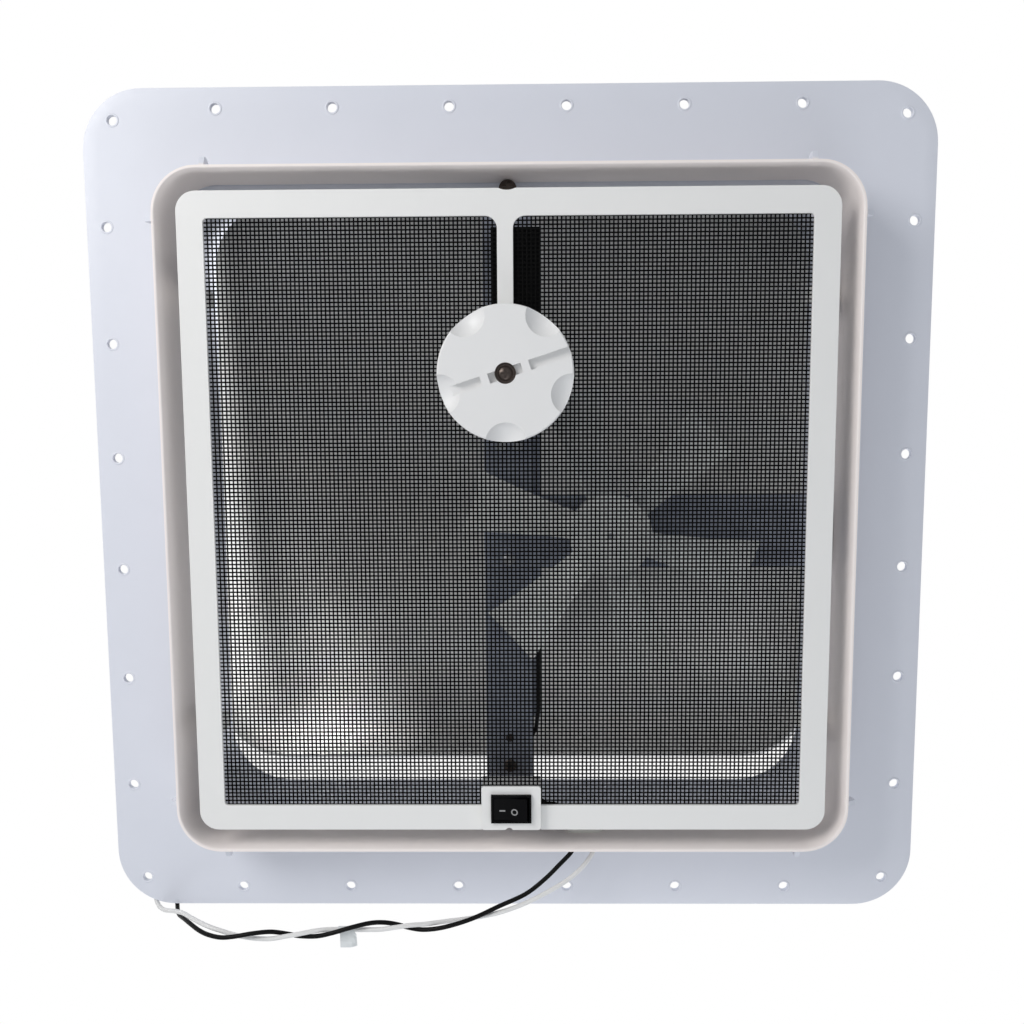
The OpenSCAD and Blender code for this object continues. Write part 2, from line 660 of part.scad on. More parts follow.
module operator_bracket() {
  out_l = bracket_in_l - plate_t;
  out_r = bracket_in_r + plate_t;
  color(steel) difference() {
    union() {
      box(out_l, out_r, bridge_y0 - bracket_foot, bracket_y1 + bracket_foot, 0, plate_t);
      for (x = [out_l, bracket_in_r]) box(x, x + plate_t, bridge_y0, bracket_y1, plate_t - eps, bridge_z);
      box(out_l, out_r, bridge_y0, bridge_y0 + bridge_l, bridge_z - eps, bridge_z + plate_t);
    }
    translate([knob_x, knob_y, -1]) cylinder(r = bush_r + snug, h = plate_t + 2);
    translate([knob_x, knob_y, bridge_z - 1]) cylinder(r = journal_d / 2 + run, h = plate_t + 2);
    translate([0, pivot_y, pivot_z]) rod_x(out_l - 1, out_r + 1, axle_d / 2 + snug);
    operator_rivet_places() translate([0, 0, -1]) cylinder(d = 3.2, h = plate_t + 2);
  }
}

// Black tray under the crossbar, from the hinge side to the knob
module operator_cover() {
  x0 = bar_left + 4.6;
  x1 = bar_right + lip_w;
  y0 = -wall_half;
  y1 = pivot_y + 8;
  z0 = -sheet - cover_h;
  color(black_plastic) difference() {
    box(x0, x1, y0, y1, z0, -sheet);
    box(x0 + 1.2, x1 - 1.2, y0 + 1.2, y1 - 1.2, z0 + 1.2, 0);
    translate([knob_x, knob_y, z0 - 1]) cylinder(r = shaft_d / 2 + 4, h = cover_h + 1);
  }
}

module bracket_rivets() {
  color(steel) operator_rivet_places() {
    translate([0, 0, -sheet - 0.8]) cylinder(d = 5.5, h = 0.8);
    translate([0, 0, -sheet - eps]) cylinder(d = 3, h = sheet + plate_t + 2 * eps);
    translate([0, 0, plate_t]) cylinder(d = 5.5, h = 1);
  }
}

module arm_axle() {
  color(steel) translate([0, pivot_y, pivot_z]) {
    rod_x(bracket_in_l - plate_t - 1, bracket_in_r + plate_t + 1, axle_d / 2);
    rod_x(bracket_in_l - plate_t - 1.8, bracket_in_l - plate_t, axle_d / 2 + 1.5);
    rod_x(bracket_in_r + plate_t, bracket_in_r + plate_t + 0.8, axle_d / 2 + 1.5);
  }
}

module motor_bracket() {
  color(galvanised) difference() {
    translate([bar_left, fan_y, 0]) rotate([90, 0, 90]) linear_extrude(bracket_end - bar_left) {
      for (s = [-1, 1]) scale([s, 1]) {
        translate([rib_w / 2 - sheet, flange_face]) square([(arm_bar_w - rib_w) / 2 + sheet, sheet]);
        translate([rib_w / 2 - sheet, rib_face]) square([sheet, rib_h + sheet]);
      }
      translate([-rib_w / 2, rib_face]) square([rib_w, sheet]);
    }
    translate([fan_x, fan_y, rib_face - 1]) cylinder(d = boss_d + 0.6, h = sheet + 2);
    for (s = [-1, 1]) {
      translate([bar_x, fan_y + s * flange_mid, flange_face - 1]) cylinder(d = 4.2, h = sheet + 2);
      translate([bracket_screw_x, fan_y + s * flange_mid, flange_face - 1]) cylinder(d = 4.4, h = sheet + 2);
      translate([fan_x, fan_y + s * flange_mid, flange_face - 1])
        cylinder(d = motor_screw_d + 0.4, h = sheet + 2);
    }
  }
}

module motor_bracket_screws() {
  color(steel) for (s = [-1, 1]) {
    translate([bracket_screw_x, fan_y + s * flange_mid, flange_face]) {
      pan_head(7.5, 2.2);
      cylinder(d = 4, h = 2 * sheet + flange_t + 1.5);
    }
    translate([bar_x, fan_y + s * flange_mid, flange_face]) {
      pan_head(7, 1.8);
      cylinder(d = 4, h = 2 * sheet + eps);
      translate([0, 0, 2 * sheet]) cylinder(d = 7, h = 1.5);
    }
  }
}

module motor_body() {
  color(steel) translate([fan_x, fan_y, motor_z]) difference() {
    union() {
      rotate_extrude() {
        square([motor_d / 2 - 1.5, motor_l]);
        translate([0, 1.5]) square([motor_d / 2, motor_l - 1.5]);
        translate([motor_d / 2 - 1.5, 1.5]) circle(1.5);
      }
      translate([0, 0, -rib_h]) cylinder(d = boss_d, h = rib_h + eps);
    }
    translate([0, 0, -rib_h - 1]) cylinder(r = motor_shaft_d / 2 + run, h = motor_l - 2);
    for (s = [-1, 1]) translate([0, s * flange_mid, -1]) cylinder(d = motor_screw_d, h = 6);
  }
}

module motor_end_cap() {
  z = motor_z + motor_l;
  color(black_plastic) translate([fan_x, fan_y, z]) {
    rotate_extrude() {
      square([motor_d / 2 - 3, 1.5]);
      square([motor_d / 7, 3]);
    }
    for (s = [-1, 1]) translate([s * tab_x - 1.5, tab_y - 3, 1.5 - eps]) cube([3, 3, 5]);
  }
}

module motor_screws() {
  color(dark_screw) for (s = [-1, 1]) translate([fan_x, fan_y + s * flange_mid, flange_face]) {
    pan_head(5.5, 1.8);
    cylinder(d = motor_screw_d - 0.1, h = sheet + 5);
  }
}

module screen_frame() {
  color(white_plastic) difference() {
    union() {
      translate([0, 0, -frame_front]) linear_extrude(frame_t) difference() {
        rounded_square(frame_w, frame_r);
        rounded_square(frame_open, 2);
      }
      translate([0, 0, -frame_front]) linear_extrude(tbar_t) difference() {
        union() {
          translate([knob_x - tbar_w / 2, -frame_open / 2 - 2]) square([tbar_w, frame_open / 2 + 2 + knob_y]);
          translate([knob_x, knob_y]) circle(d = ring_d);
          for (s = [-1, 1]) translate([knob_x + s * tbar_w / 2, -frame_open / 2]) difference() {
            translate([s * (tbar_r / 2 - 0.5), tbar_r / 2 - 0.5]) square(tbar_r + 1, center = true);
            translate([s * tbar_r, tbar_r]) circle(tbar_r);
          }
        }
      }
      for (sx = [0, 1], sy = [-1, 1]) mirror([sx, 0, 0]) translate([0, sy * leg_y, 0]) {
        box(leg_x, leg_x + leg, -leg_w / 2, leg_w / 2, frame_back - 1, 0);
        box(leg_x + 1, collar_in - 1.2, -leg_w / 2, leg_w / 2, -foot_t, 0);
      }
    }
    translate([knob_x, knob_y, -frame_front - 1]) cylinder(d = shaft_d + 4, h = tbar_t + 2);
    translate([knob_x + 1, 1 - frame_w / 2 - notch_r, -frame_front - 1])
      cylinder(r = notch_r, h = frame_t + 2);
    translate([0, 0, net_front]) linear_extrude(frame_t) square(2 * (net_half + snug), center = true);
    box(switch_x - housing_w / 2, switch_x + housing_w / 2, switch_y - housing_d / 2, frame_w / 2 + 1,
      -frame_front - 1, frame_back + 1);
  }
}

module screen_mesh() {
  gap = net_span - net_strand;
  color([0.05, 0.05, 0.05]) translate([0, 0, net_front]) linear_extrude(net_t) difference() {
    square(2 * net_half, center = true);
    for (i = [0 : net_gaps - 1], j = [0 : net_gaps - 1])
      translate([(i + 0.5) * net_span - frame_open / 2, (j + 0.5) * net_span - frame_open / 2])
        square(gap, center = true);
    translate([knob_x, knob_y]) circle(d = ring_d - 6);
    translate([switch_x, switch_y + 5])
      square([housing_w + 2 * free, housing_d + 10 + 2 * free], center = true);
  }
}

module switch_housing() {
  wall = (housing_d - body_d) / 2;
  color(white_plastic) translate([switch_x, switch_y, 0]) difference() {
    translate([0, 0, housing_front]) linear_extrude(housing_back - housing_front) {
      square([housing_w, housing_d - 3], center = true);
      square([housing_w - 3, housing_d], center = true);
      for (sx = [-1, 1], sy = [-1, 1])
        translate([sx * (housing_w / 2 - 1.5), sy * (housing_d / 2 - 1.5)]) circle(1.5);
    }
    translate([-body_w / 2 - snug, -body_d / 2 - snug, housing_front - 1])
      cube([body_w + 2 * snug, body_d + 2 * snug, housing_back - housing_front + 2]);
    translate([bar_x - switch_x, housing_d / 2 + 0.8, housing_front - 1]) cylinder(d = 4, h = wall);
  }
}

module switch_body() {
  color(black_plastic) translate([switch_x, switch_y, 0]) difference() {
    union() {
      translate([-bezel_w / 2, -bezel_d / 2, bezel_face]) cube([bezel_w, bezel_d, bezel_t]);
      translate([-body_w / 2, -body_d / 2, housing_front - eps])
        cube([body_w, body_d, switch_back - housing_front]);
    }
    translate([-rocker_w / 2 - rocker_gap, -rocker_d / 2 - free, bezel_face - 1])
      cube([rocker_w + 2 * rocker_gap, rocker_d + 2 * free, 10]);
    translate([0, 0, rocker_axis_z]) rotate([90, 0, 0])
      cylinder(d = 2 + 2 * run, h = rocker_d + 1.8, center = true);
  }
}

module switch_terminals() {
  color([0.75, 0.68, 0.45]) for (s = [-1, 1])
    translate([switch_x + s * 4, switch_y, switch_back]) {
      translate([-0.4, -2.4, 0]) cube([0.8, 4.8, 6]);
      translate([-1.6, -sleeve_y, 0.8]) cube([3.2, 2 * sleeve_y, 8]);
    }
}

module inner_leads() {
  color(black_plastic) {
    wire(switch_lead, lead_d);
    wire(supply_black, lead_d);
    wire(supply_white, lead_d);
  }
}

// Oblong round-ended bar along Y, from y0 back by l, grown by g
module grommet_neck(g, l) {
  r = lead_d / 2 + 1.9 + g;
  half = (white_x - black_x) / 2;
  rotate([90, 0, 0]) {
    for (s = [-1, 1]) translate([s * half, 0, -2]) cylinder(r = r, h = l);
    translate([-half, -r, -2]) cube([2 * half, 2 * r, l]);
  }
}

module lead_grommet() {
  inner = 2;
  outer = grommet_y - collar_w / 2;
  color([0.10, 0.10, 0.11]) translate([(black_x + white_x) / 2, collar_w / 2, lead_z]) difference() {
    union() {
      translate([0, -2 + outer, 0]) grommet_neck(-snug, collar_wall + inner + outer);
      translate([0, -2 + outer, 0]) grommet_neck(2, outer);
      translate([0, -2 - collar_wall, 0]) grommet_neck(2, inner);
    }
    for (x = [black_x, white_x]) translate([x - (black_x + white_x) / 2, 5, 0]) rotate([90, 0, 0])
      cylinder(d = lead_d - 0.4, h = 20);
  }
}

module black_lead() {
  color(black_plastic) wire(black_route, lead_d);
}

module white_lead() {
  color([0.93, 0.93, 0.93]) wire(white_route, lead_d);
}

// Bare end that carries on from a route's last point
module bare_tip(route) {
  last = route[len(route) - 1];
  d = unit(last - route[len(route) - 2]);
  translate(last) rotate([0, 0, atan2(d[1], d[0])]) rod_x(0, tip_l, tip_d / 2);
}

module lead_tips() {
  color([0.78, 0.62, 0.45]) {
    bare_tip(black_route);
    bare_tip(white_route);
  }
}

module wire_tag() {
  color([0.82, 0.84, 0.86]) translate(white_route[16] + [-6, 1.5, -2]) cube([9, 9.6, 0.5]);
}

// Screw in a post of the collar's ledge, seen through the notch in the frame's edge
module screen_screw() {
  color(dark_screw) translate([knob_x + 1, ledge_screw_y, ledge_screw_z]) {
    pan_head(ledge_head_d, 2.6);
    translate([0, 0, -eps]) cylinder(d = 3.4, h = 7.5);
  }
}

// Rings of the lid, skirt to top: half width, corner radius, height
lid_in = lid_half - lid_wall;
lid_outer = [[lid_half, lid_r, skirt_low], [lid_half, lid_r, shoulder_z],
  [lid_half - 1.2, lid_r, shoulder_z + 2], [crease_w / 2, lid_r - 8, crease_z],
  [plateau_w / 2, plateau_w * 0.3, plateau_z]];
lid_inner = [[plateau_w / 2 + 0.3, plateau_w * 0.3, foot_z],
  [crease_w / 2 - 1.6, lid_r - 9, crease_z - lid_wall], [lid_in - 1, lid_r - 2, shoulder_z + 1],
  [lid_in, lid_r - lid_wall, shoulder_z - 1], [lid_in, lid_r - lid_wall, skirt_low]];

// Closed shell: the outer rings run up, the inner ones down, with a flat top on each
module lid_form() {
  n = 7;
  rings = [for (g = concat(lid_outer, lid_inner)) rounded(g[0], g[1], g[2], n)];
  k = len(rings[0]);
  m = len(rings);
  up = len(lid_outer) - 1;
  points = [for (g = rings) each g];
  sides = [for (i = [0 : m - 1]) if (i != up) for (a = [0 : k - 1]) let (b = (a + 1) % k, j = (i + 1) % m)
    each [[i * k + a, j * k + a, j * k + b], [i * k + a, j * k + b, i * k + b]]];
  tops = [[for (a = [k - 1 : -1 : 0]) up * k + a], [for (a = [0 : k - 1]) (up + 1) * k + a]];
  polyhedron(points, concat(sides, tops));
}

module lid_shell() {
  color(white_plastic) at_lid() difference() {
    lid_form();
    track_rivet_places() translate([0, 0, foot_z - 1]) cylinder(d = 3.2, h = lid_wall + 2);
    leaf_rivet_places() rotate([90, 0, 0]) translate([0, 0, -lid_wall - 1])
      cylinder(d = 3.2, h = lid_wall + 2);
  }
}

module leaf_rivet_places() {
  for (s = [-1, 1], e = [-1, 1])
    translate([s * hinge_x + e * (leaf_half - 3.5), -lid_half, leaf_rivet_z]) children();
}

module lid_hinge_leaves() {
  inner = knuckle_l / 2 + free;
  outer = inner + leaf_knuckle_l;
  color(white_plastic) at_lid() difference() {
    for (s = [-1, 1]) translate([s * hinge_x, 0, 0]) {
      box(-leaf_half, leaf_half, -lid_half - leaf_t, -lid_half, skirt_low, skirt_low + leaf_h);
      for (e = [-1, 1]) {
        translate([0, hinge_y, hinge_z]) rod_x(e > 0 ? inner : -outer, e > 0 ? outer : -inner, knuckle_d / 2);
        box(e > 0 ? inner : -outer, e > 0 ? outer : -inner, hinge_y, -lid_half - leaf_t + eps,
          hinge_z - 3, hinge_z + 1.5);
      }
    }
    translate([0, hinge_y, hinge_z]) rod_x(-lid_half, lid_half, hinge_pin_d / 2 + run);
    leaf_rivet_places() rotate([90, 0, 0]) translate([0, 0, -1]) cylinder(d = 3.2, h = leaf_t + 2);
  }
}

module leaf_rivets() {
  color(steel) at_lid() leaf_rivet_places() rotate([90, 0, 0]) {
    translate([0, 0, -lid_wall - 0.8]) cylinder(d = 5, h = 0.8);
    translate([0, 0, -lid_wall - eps]) cylinder(d = 3, h = lid_wall + leaf_t + 2 * eps);
    translate([0, 0, leaf_t]) cylinder(d = 5, h = 0.7);
  }
}

module track_rivet_places() {
  for (s = [-1, 1]) translate([(roller_x + track_back) / 2, s * foot_at, 0]) children();
}

module lid_track() {
  y0 = roller_near - track_ends;
  y1 = roller_far + track_ends;
  top = track_gap + sheet;
  color(galvanised) {
    at_track() {
      box(track_back, track_back + sheet, y0, y1, -top, top);
      for (z = [-top, track_gap]) box(roller_x - 0.5, track_back + eps, y0, y1, z, z + sheet);
    }
    at_lid() difference() {
      union() {
        for (s = [-1, 1]) translate([0, s * foot_at, 0]) {
          base = hinge_z + tan(track_slope) * (s * foot_at - 6 - hinge_y);
          box(track_back + 0.1, track_back + sheet - 0.1, -6, 6, base, foot_z);
          box(roller_x - 2, track_back + sheet - 0.1, -6, 6, foot_z - sheet, foot_z);
        }
      }
      track_rivet_places() translate([0, 0, foot_z - sheet - 1]) cylinder(d = 3.2, h = sheet + 2);
    }
  }
}

module track_rivets() {
  color(steel) at_lid() track_rivet_places() {
    translate([0, 0, foot_z - sheet - 0.8]) cylinder(d = 5.5, h = 0.8);
    translate([0, 0, foot_z - sheet - eps]) cylinder(d = 3, h = sheet + lid_wall + 2 * eps);
    translate([0, 0, plateau_z]) cylinder(d1 = 7, d2 = 5, h = 1.2);
  }
}

module lift_arm() {
  color(steel) at_arm() difference() {
    union() {
      box(arm_x, arm_x + arm_t, 0, arm_l, -arm_w / 2, arm_w / 2);
      for (y = [0, arm_l]) translate([0, y, 0]) rod_x(arm_x, arm_x + arm_t, arm_w / 2 + (y == 0 ? 3 : 0.5));
    }
    rod_x(arm_x - 1, arm_x + arm_t + 1, axle_d / 2 + run);
    translate([0, arm_l, 0]) rod_x(arm_x - 1, arm_x + arm_t + 1, roller_pin_d / 2 + snug);
    for (y = [-6, 9]) translate([0, y, 0]) rod_x(arm_x - 1, arm_x + arm_t + 1, 1.5);
  }
}

// Outline of the wheel: one tooth every pitch angle, narrower at its tip
function tooth(r, half, a) = [r * cos(a + half), r * sin(a + half)];
wheel_outline = [for (k = [0 : wheel_teeth - 1]) let (a = 360 * k / wheel_teeth, deg = 180 / PI)
  each [tooth(wheel_r - 1.25 * tooth_m, -1.0 * tooth_m / wheel_r * deg, a),
    tooth(wheel_r, -0.58 * tooth_m / wheel_r * deg, a),
    tooth(wheel_r + 0.9 * tooth_m, -0.24 * tooth_m / wheel_r * deg, a),
    tooth(wheel_r + 0.9 * tooth_m, 0.24 * tooth_m / wheel_r * deg, a),
    tooth(wheel_r, 0.58 * tooth_m / wheel_r * deg, a),
    tooth(wheel_r - 1.25 * tooth_m, 1.0 * tooth_m / wheel_r * deg, a)]];

module worm_wheel() {
  color([0.86, 0.85, 0.80]) translate([0, pivot_y, pivot_z]) difference() {
    union() {
      translate([knob_x - wheel_w / 2, 0, 0]) rotate([90, 0, 90]) linear_extrude(wheel_w)
        rotate(180) polygon(wheel_outline);
      rod_x(bracket_in_l + free, arm_x, arm_w / 2 + 1);
      rotate([arm_rest, 0, 0]) translate([0, 6, 0]) rod_x(knob_x, arm_x, 5.5);
    }
    rod_x(bracket_in_l - 1, arm_x + 1, axle_d / 2 + run);
    rotate([arm_rest, 0, 0]) for (y = [-6, 9]) translate([0, y, 0]) rod_x(knob_x - wheel_w, arm_x + 1, 1.5);
  }
}

module arm_rivets() {
  color(steel) at_arm() for (y = [-6, 9]) translate([0, y, 0]) {
    rod_x(knob_x - wheel_w / 2, arm_x + arm_t, 1.5 - snug);
    rod_x(arm_x + arm_t, arm_x + arm_t + 0.8, 2.4);
  }
}

module roller_pin() {
  color(steel) at_arm() translate([0, arm_l, 0]) {
    rod_x(arm_x - 0.8, roller_x + roller_w, roller_pin_d / 2);
    rod_x(arm_x - 0.8, arm_x, roller_pin_d / 2 + 1.2);
  }
}

module track_roller() {
  color([0.92, 0.91, 0.86]) at_arm() translate([0, arm_l, 0]) difference() {
    rod_x(roller_x, roller_x + roller_w, roller_d / 2);
    rod_x(roller_x - 1, roller_x + roller_w + 1, roller_pin_d / 2 + run);
  }
}

// Scoops around the knob's rim, and the slot across its face
scoops = 5;
scoop_turn = 18;
scoop_r = 13;
scoop_out = 8.2;
knob_edge = 1;
module knob() {
  color(white_plastic) translate([knob_x, knob_y, 0]) difference() {
    translate([0, 0, knob_front]) rotate_extrude($fn = 96) {
      square([knob_d / 2 - knob_edge, knob_h]);
      translate([0, knob_edge]) square([knob_d / 2, knob_h - knob_edge]);
      translate([knob_d / 2 - knob_edge, knob_edge]) circle(knob_edge);
    }
    for (k = [0 : scoops - 1]) rotate(scoop_turn + 360 * k / scoops)
      translate([knob_d / 2 + 0.4, 0, knob_front - scoop_out]) sphere(r = scoop_r, $fn = 96);
    rotate(-scoop_turn) difference() {
      translate([-knob_d / 2, -2.5, knob_front - 1]) cube([knob_d, 5, 4]);
      for (s = [-1, 1]) translate([s * 10.5 - 2, -3, knob_front - 2]) cube([4, 6, 6]);
    }
    translate([0, 0, knob_front - 1]) cylinder(d = recess_d, h = recess_h + 1);
    translate([0, 0, knob_front]) cylinder(d = 4 + 2 * snug, h = knob_h);
    translate([0, 0, shaft_low]) cylinder(r = shaft_d / 2 + snug, h = knob_h);
  }
}

module knob_screw() {
  color(dark_screw) translate([knob_x, knob_y, knob_front + recess_h]) {
    pan_head(7.4, 2.2);
    cylinder(d = 4, h = 12);
    translate([0, 0, 0.4 - recess_h]) difference() {
      cylinder(d = recess_d - 2 * snug, h = recess_h - 0.4);
      translate([0, 0, -1]) cylinder(d1 = recess_d - 0.4, d2 = recess_d - 1.6, h = recess_h);
    }
  }
}

// One thread of the worm, its profile swept up a right-hand helix
module worm_thread() {
  steps = 20;
  half_tip = 0.25 * tooth_m;
  half_root = 1.0 * tooth_m;
  tip_r = worm_r + 0.9 * tooth_m;
  core_r = worm_r - 1.45 * tooth_m;
  start = -floor(worm_turns / 2 + 0.5);
  loft([for (i = [0 : worm_turns * steps]) let (t = start + i / steps, a = 90 + 360 * t, z = lead * (t + 0.5))
    [[core_r * cos(a), core_r * sin(a), z - half_root], [core_r * cos(a), core_r * sin(a), z + half_root],
      [tip_r * cos(a), tip_r * sin(a), z + half_tip], [tip_r * cos(a), tip_r * sin(a), z - half_tip]]]);
}

module worm_shaft() {
  core = worm_r - 1.3 * tooth_m;
  worm_half = lead * (worm_turns / 2 + 0.5) + 0.5;
  color(steel) translate([knob_x, knob_y, 0]) difference() {
    union() {
      translate([0, 0, shaft_low]) cylinder(d = shaft_d, h = pivot_z - worm_half - shaft_low);
      translate([0, 0, pivot_z - worm_half - eps]) cylinder(r = core, h = 2 * worm_half);
      translate([0, 0, pivot_z]) cylinder(d = journal_d, h = bridge_z + plate_t + 0.5 - pivot_z);
      translate([0, 0, pivot_z]) worm_thread();
    }
    translate([0, 0, shaft_low - 1]) cylinder(d = 4 + 2 * snug, h = 14);
  }
}

module shaft_clip() {
  color(steel) translate([knob_x, knob_y, -sheet - 1.2 - clip_t]) difference() {
    cylinder(r = shaft_d / 2 + 3, h = clip_t);
    translate([0, 0, -1]) cylinder(r = shaft_d / 2 + snug, h = clip_t + 2);
  }
}

// Rings of a blade from hub to tip: a thin plate, turned by its pitch
module blade() {
  stations = 5;
  r0 = hub_r - 2.1;
  mid = hub_front + hub_h / 2;
  loft([for (i = [0 : stations]) let (t = i / stations, r = r0 + t * (fan_r - r0),
      c = root_chord + pow(t, 1.2) * (tip_chord - root_chord), p = root_pitch + t * (tip_pitch - root_pitch),
      bow = 0.07 * c)
    [for (q = [[-0.5, 0], [-0.25, 0.75], [0, 1], [0.25, 0.75], [0.5, 0]], side = [0])
      let (u = q[0] * c, w = bow * (q[1] - 0.5) - blade_t / 2)
      [r, u * cos(p) - w * sin(p), mid + u * sin(p) + w * cos(p)],
     for (q = [[0.5, 0], [0.25, 0.75], [0, 1], [-0.25, 0.75], [-0.5, 0]])
      let (u = q[0] * c, w = bow * (q[1] - 0.5) + blade_t / 2)
      [r, u * cos(p) - w * sin(p), mid + u * sin(p) + w * cos(p)]]]);
}

blade_turn = 14;
module fan_rotor() {
  color([0.82, 0.83, 0.82]) translate([fan_x, fan_y, 0]) difference() {
    union() {
      translate([0, 0, hub_front]) difference() {
        cylinder(r = hub_r, h = hub_h);
        translate([0, 0, 2.5]) cylinder(r = hub_r - 3, h = hub_h);
      }
      translate([0, 0, hub_front]) cylinder(d = 10, h = hub_h);
      for (k = [0 : blades - 1]) rotate(blade_turn + 360 * k / blades) blade();
    }
    translate([0, 0, hub_front - 1]) cylinder(r = motor_shaft_d / 2 + snug, h = hub_h + 2);
  }
}

module motor_shaft() {
  color(steel) translate([fan_x, fan_y, hub_front + 2.6])
    cylinder(d = motor_shaft_d, h = motor_z + motor_l - 10 - hub_front);
}

module switch_rocker() {
  face = bezel_face - 1.2;
  color(black_plastic) translate([switch_x, switch_y, rocker_axis_z]) rotate([0, rocker_tilt, 0]) {
    difference() {
      translate([-rocker_w / 2, -rocker_d / 2, face - rocker_axis_z])
        cube([rocker_w, rocker_d, rocker_axis_z + rocker_deep - face]);
      translate([0, 0, face - rocker_axis_z - 26]) rotate([90, 0, 0])
        cylinder(r = 27.2, h = rocker_d + 2, center = true);
    }
    rotate([90, 0, 0]) cylinder(d = 2, h = rocker_d + 1.4, center = true);
  }
}

base_moulding();
curb_seal();
hinge_pins();
crossbar();
crossbar_screws();
shaft_bush();
operator_bracket();
operator_cover();
bracket_rivets();
arm_axle();
motor_bracket();
motor_bracket_screws();
motor_body();
motor_end_cap();
motor_screws();
screen_frame();
screen_mesh();
switch_housing();
switch_body();
switch_terminals();
inner_leads();
lead_grommet();
black_lead();
white_lead();
lead_tips();
wire_tag();
screen_screw();
lid_shell();
lid_hinge_leaves();
leaf_rivets();
lid_track();
track_rivets();
lift_arm();
worm_wheel();
arm_rivets();
roller_pin();
track_roller();
knob();
knob_screw();
worm_shaft();
shaft_clip();
fan_rotor();
motor_shaft();
switch_rocker();
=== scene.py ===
# %% [markdown]
# A caravan roof vent, seen from the room below. The CAD part gives every rigid piece its real
# shape and place. This lesson gives those pieces their edges and finishes, and makes the pieces
# that solid modelling is poor at: the woven insect net, the two soft leads and the tape flag.

# %% Start from the CAD part
import json
import math
import bmesh
import bpy
from mathutils import Matrix, Vector
from mathutils.bvhtree import BVHTree


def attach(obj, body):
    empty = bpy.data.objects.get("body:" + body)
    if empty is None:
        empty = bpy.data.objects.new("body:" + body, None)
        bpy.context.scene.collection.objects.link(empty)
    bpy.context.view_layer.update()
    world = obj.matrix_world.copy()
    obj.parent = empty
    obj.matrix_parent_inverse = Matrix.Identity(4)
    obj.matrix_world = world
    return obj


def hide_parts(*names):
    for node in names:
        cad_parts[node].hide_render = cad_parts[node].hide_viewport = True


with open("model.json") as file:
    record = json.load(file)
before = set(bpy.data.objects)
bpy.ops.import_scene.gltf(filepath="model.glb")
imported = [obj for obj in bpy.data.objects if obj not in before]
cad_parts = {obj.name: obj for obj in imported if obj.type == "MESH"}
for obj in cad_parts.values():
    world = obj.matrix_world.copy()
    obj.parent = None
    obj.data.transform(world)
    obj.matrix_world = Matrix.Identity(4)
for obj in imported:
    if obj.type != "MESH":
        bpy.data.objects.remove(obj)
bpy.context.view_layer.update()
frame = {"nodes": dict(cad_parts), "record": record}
scene = bpy.context.scene
scene.view_settings.view_transform = "Standard"
nodes = frame["nodes"]
record = frame["record"]
body_of = {n: body for body, names in record["behaviour"]["bodies"].items() for n in names}
slot_of = {p["node"]: p["material_slot"] for p in record["subparts"]}

# %% [markdown]
# The photograph was taken from under the vent, a little to the hinge side, with an ordinary lens.
# The place and turn of the camera were found from the screw holes in the flange, which are a
# regular grid. A lens of about 34 mm on a 36 mm sensor gives the same narrowing towards the switch.

# %% Camera
MM = 0.001
LENS = 34.0337
CAMERA_PLACE = (8.13, -56.04, -525.82)
CAMERA_TILT = (6.06, -0.76, 0.30)
camera_data = bpy.data.cameras.new("camera")
camera_data.sensor_width = 36
camera_data.lens = LENS
camera_data.clip_start = 0.01
camera_data.clip_end = 50
camera = bpy.data.objects.new("camera", camera_data)
scene.collection.objects.link(camera)
tilt = Vector(CAMERA_TILT) * math.pi / 180
photo_turn = Matrix.Rotation(tilt.length, 3, tilt.normalized())
photo_axes = Matrix(((1, 0, 0), (0, -1, 0), (0, 0, -1)))
camera.matrix_world = (Matrix.Translation(Vector(CAMERA_PLACE) * MM)
                       @ (photo_axes @ photo_turn.transposed()).to_4x4())
scene.camera = camera
print("camera looks along", [round(v, 3) for v in camera.matrix_world.to_3x3() @ Vector((0, 0, -1))])

# %% [markdown]
# The supply leads leave the collar through a grommet, cross each other a few times on the
# way to the flange's corner, and lie on its roof side. A curve with a round bevel is the plain way
# to make a wire. Its points are those of the CAD route, with a smooth spline run through them.

# %% Helpers for round wires
def smooth_route(points, steps=6):
    """A denser line through the points, with no corner at any of them."""
    line = []
    last = len(points) - 1
    for i in range(last):
        a, b, c, d = (Vector(points[max(0, min(last, i + k))]) for k in (-1, 0, 1, 2))
        for s in range(steps):
            t = s / steps
            line.append(0.5 * (2 * b + (c - a) * t + (2 * a - 5 * b + 4 * c - d) * t ** 2
                               + (3 * b - a - 3 * c + d) * t ** 3))
    line.append(Vector(points[-1]))
    return line


def line_length(line):
    """The length along the line, in metres."""
    return sum((b - a).length for a, b in zip(line, line[1:]))


def wire_curve(name, line, diameter):
    """One open curve with a round section."""
    data = bpy.data.curves.new(name, "CURVE")
    data.dimensions = "3D"
    data.bevel_depth = diameter / 2
    data.bevel_resolution = 5
    data.use_fill_caps = True
    spline = data.splines.new("POLY")
    spline.points.add(len(line) - 1)
    for point, place in zip(spline.points, line):
        point.co = (*place, 1)
    spline.use_smooth = True
    obj = bpy.data.objects.new(name, data)
    scene.collection.objects.link(obj)
    return obj


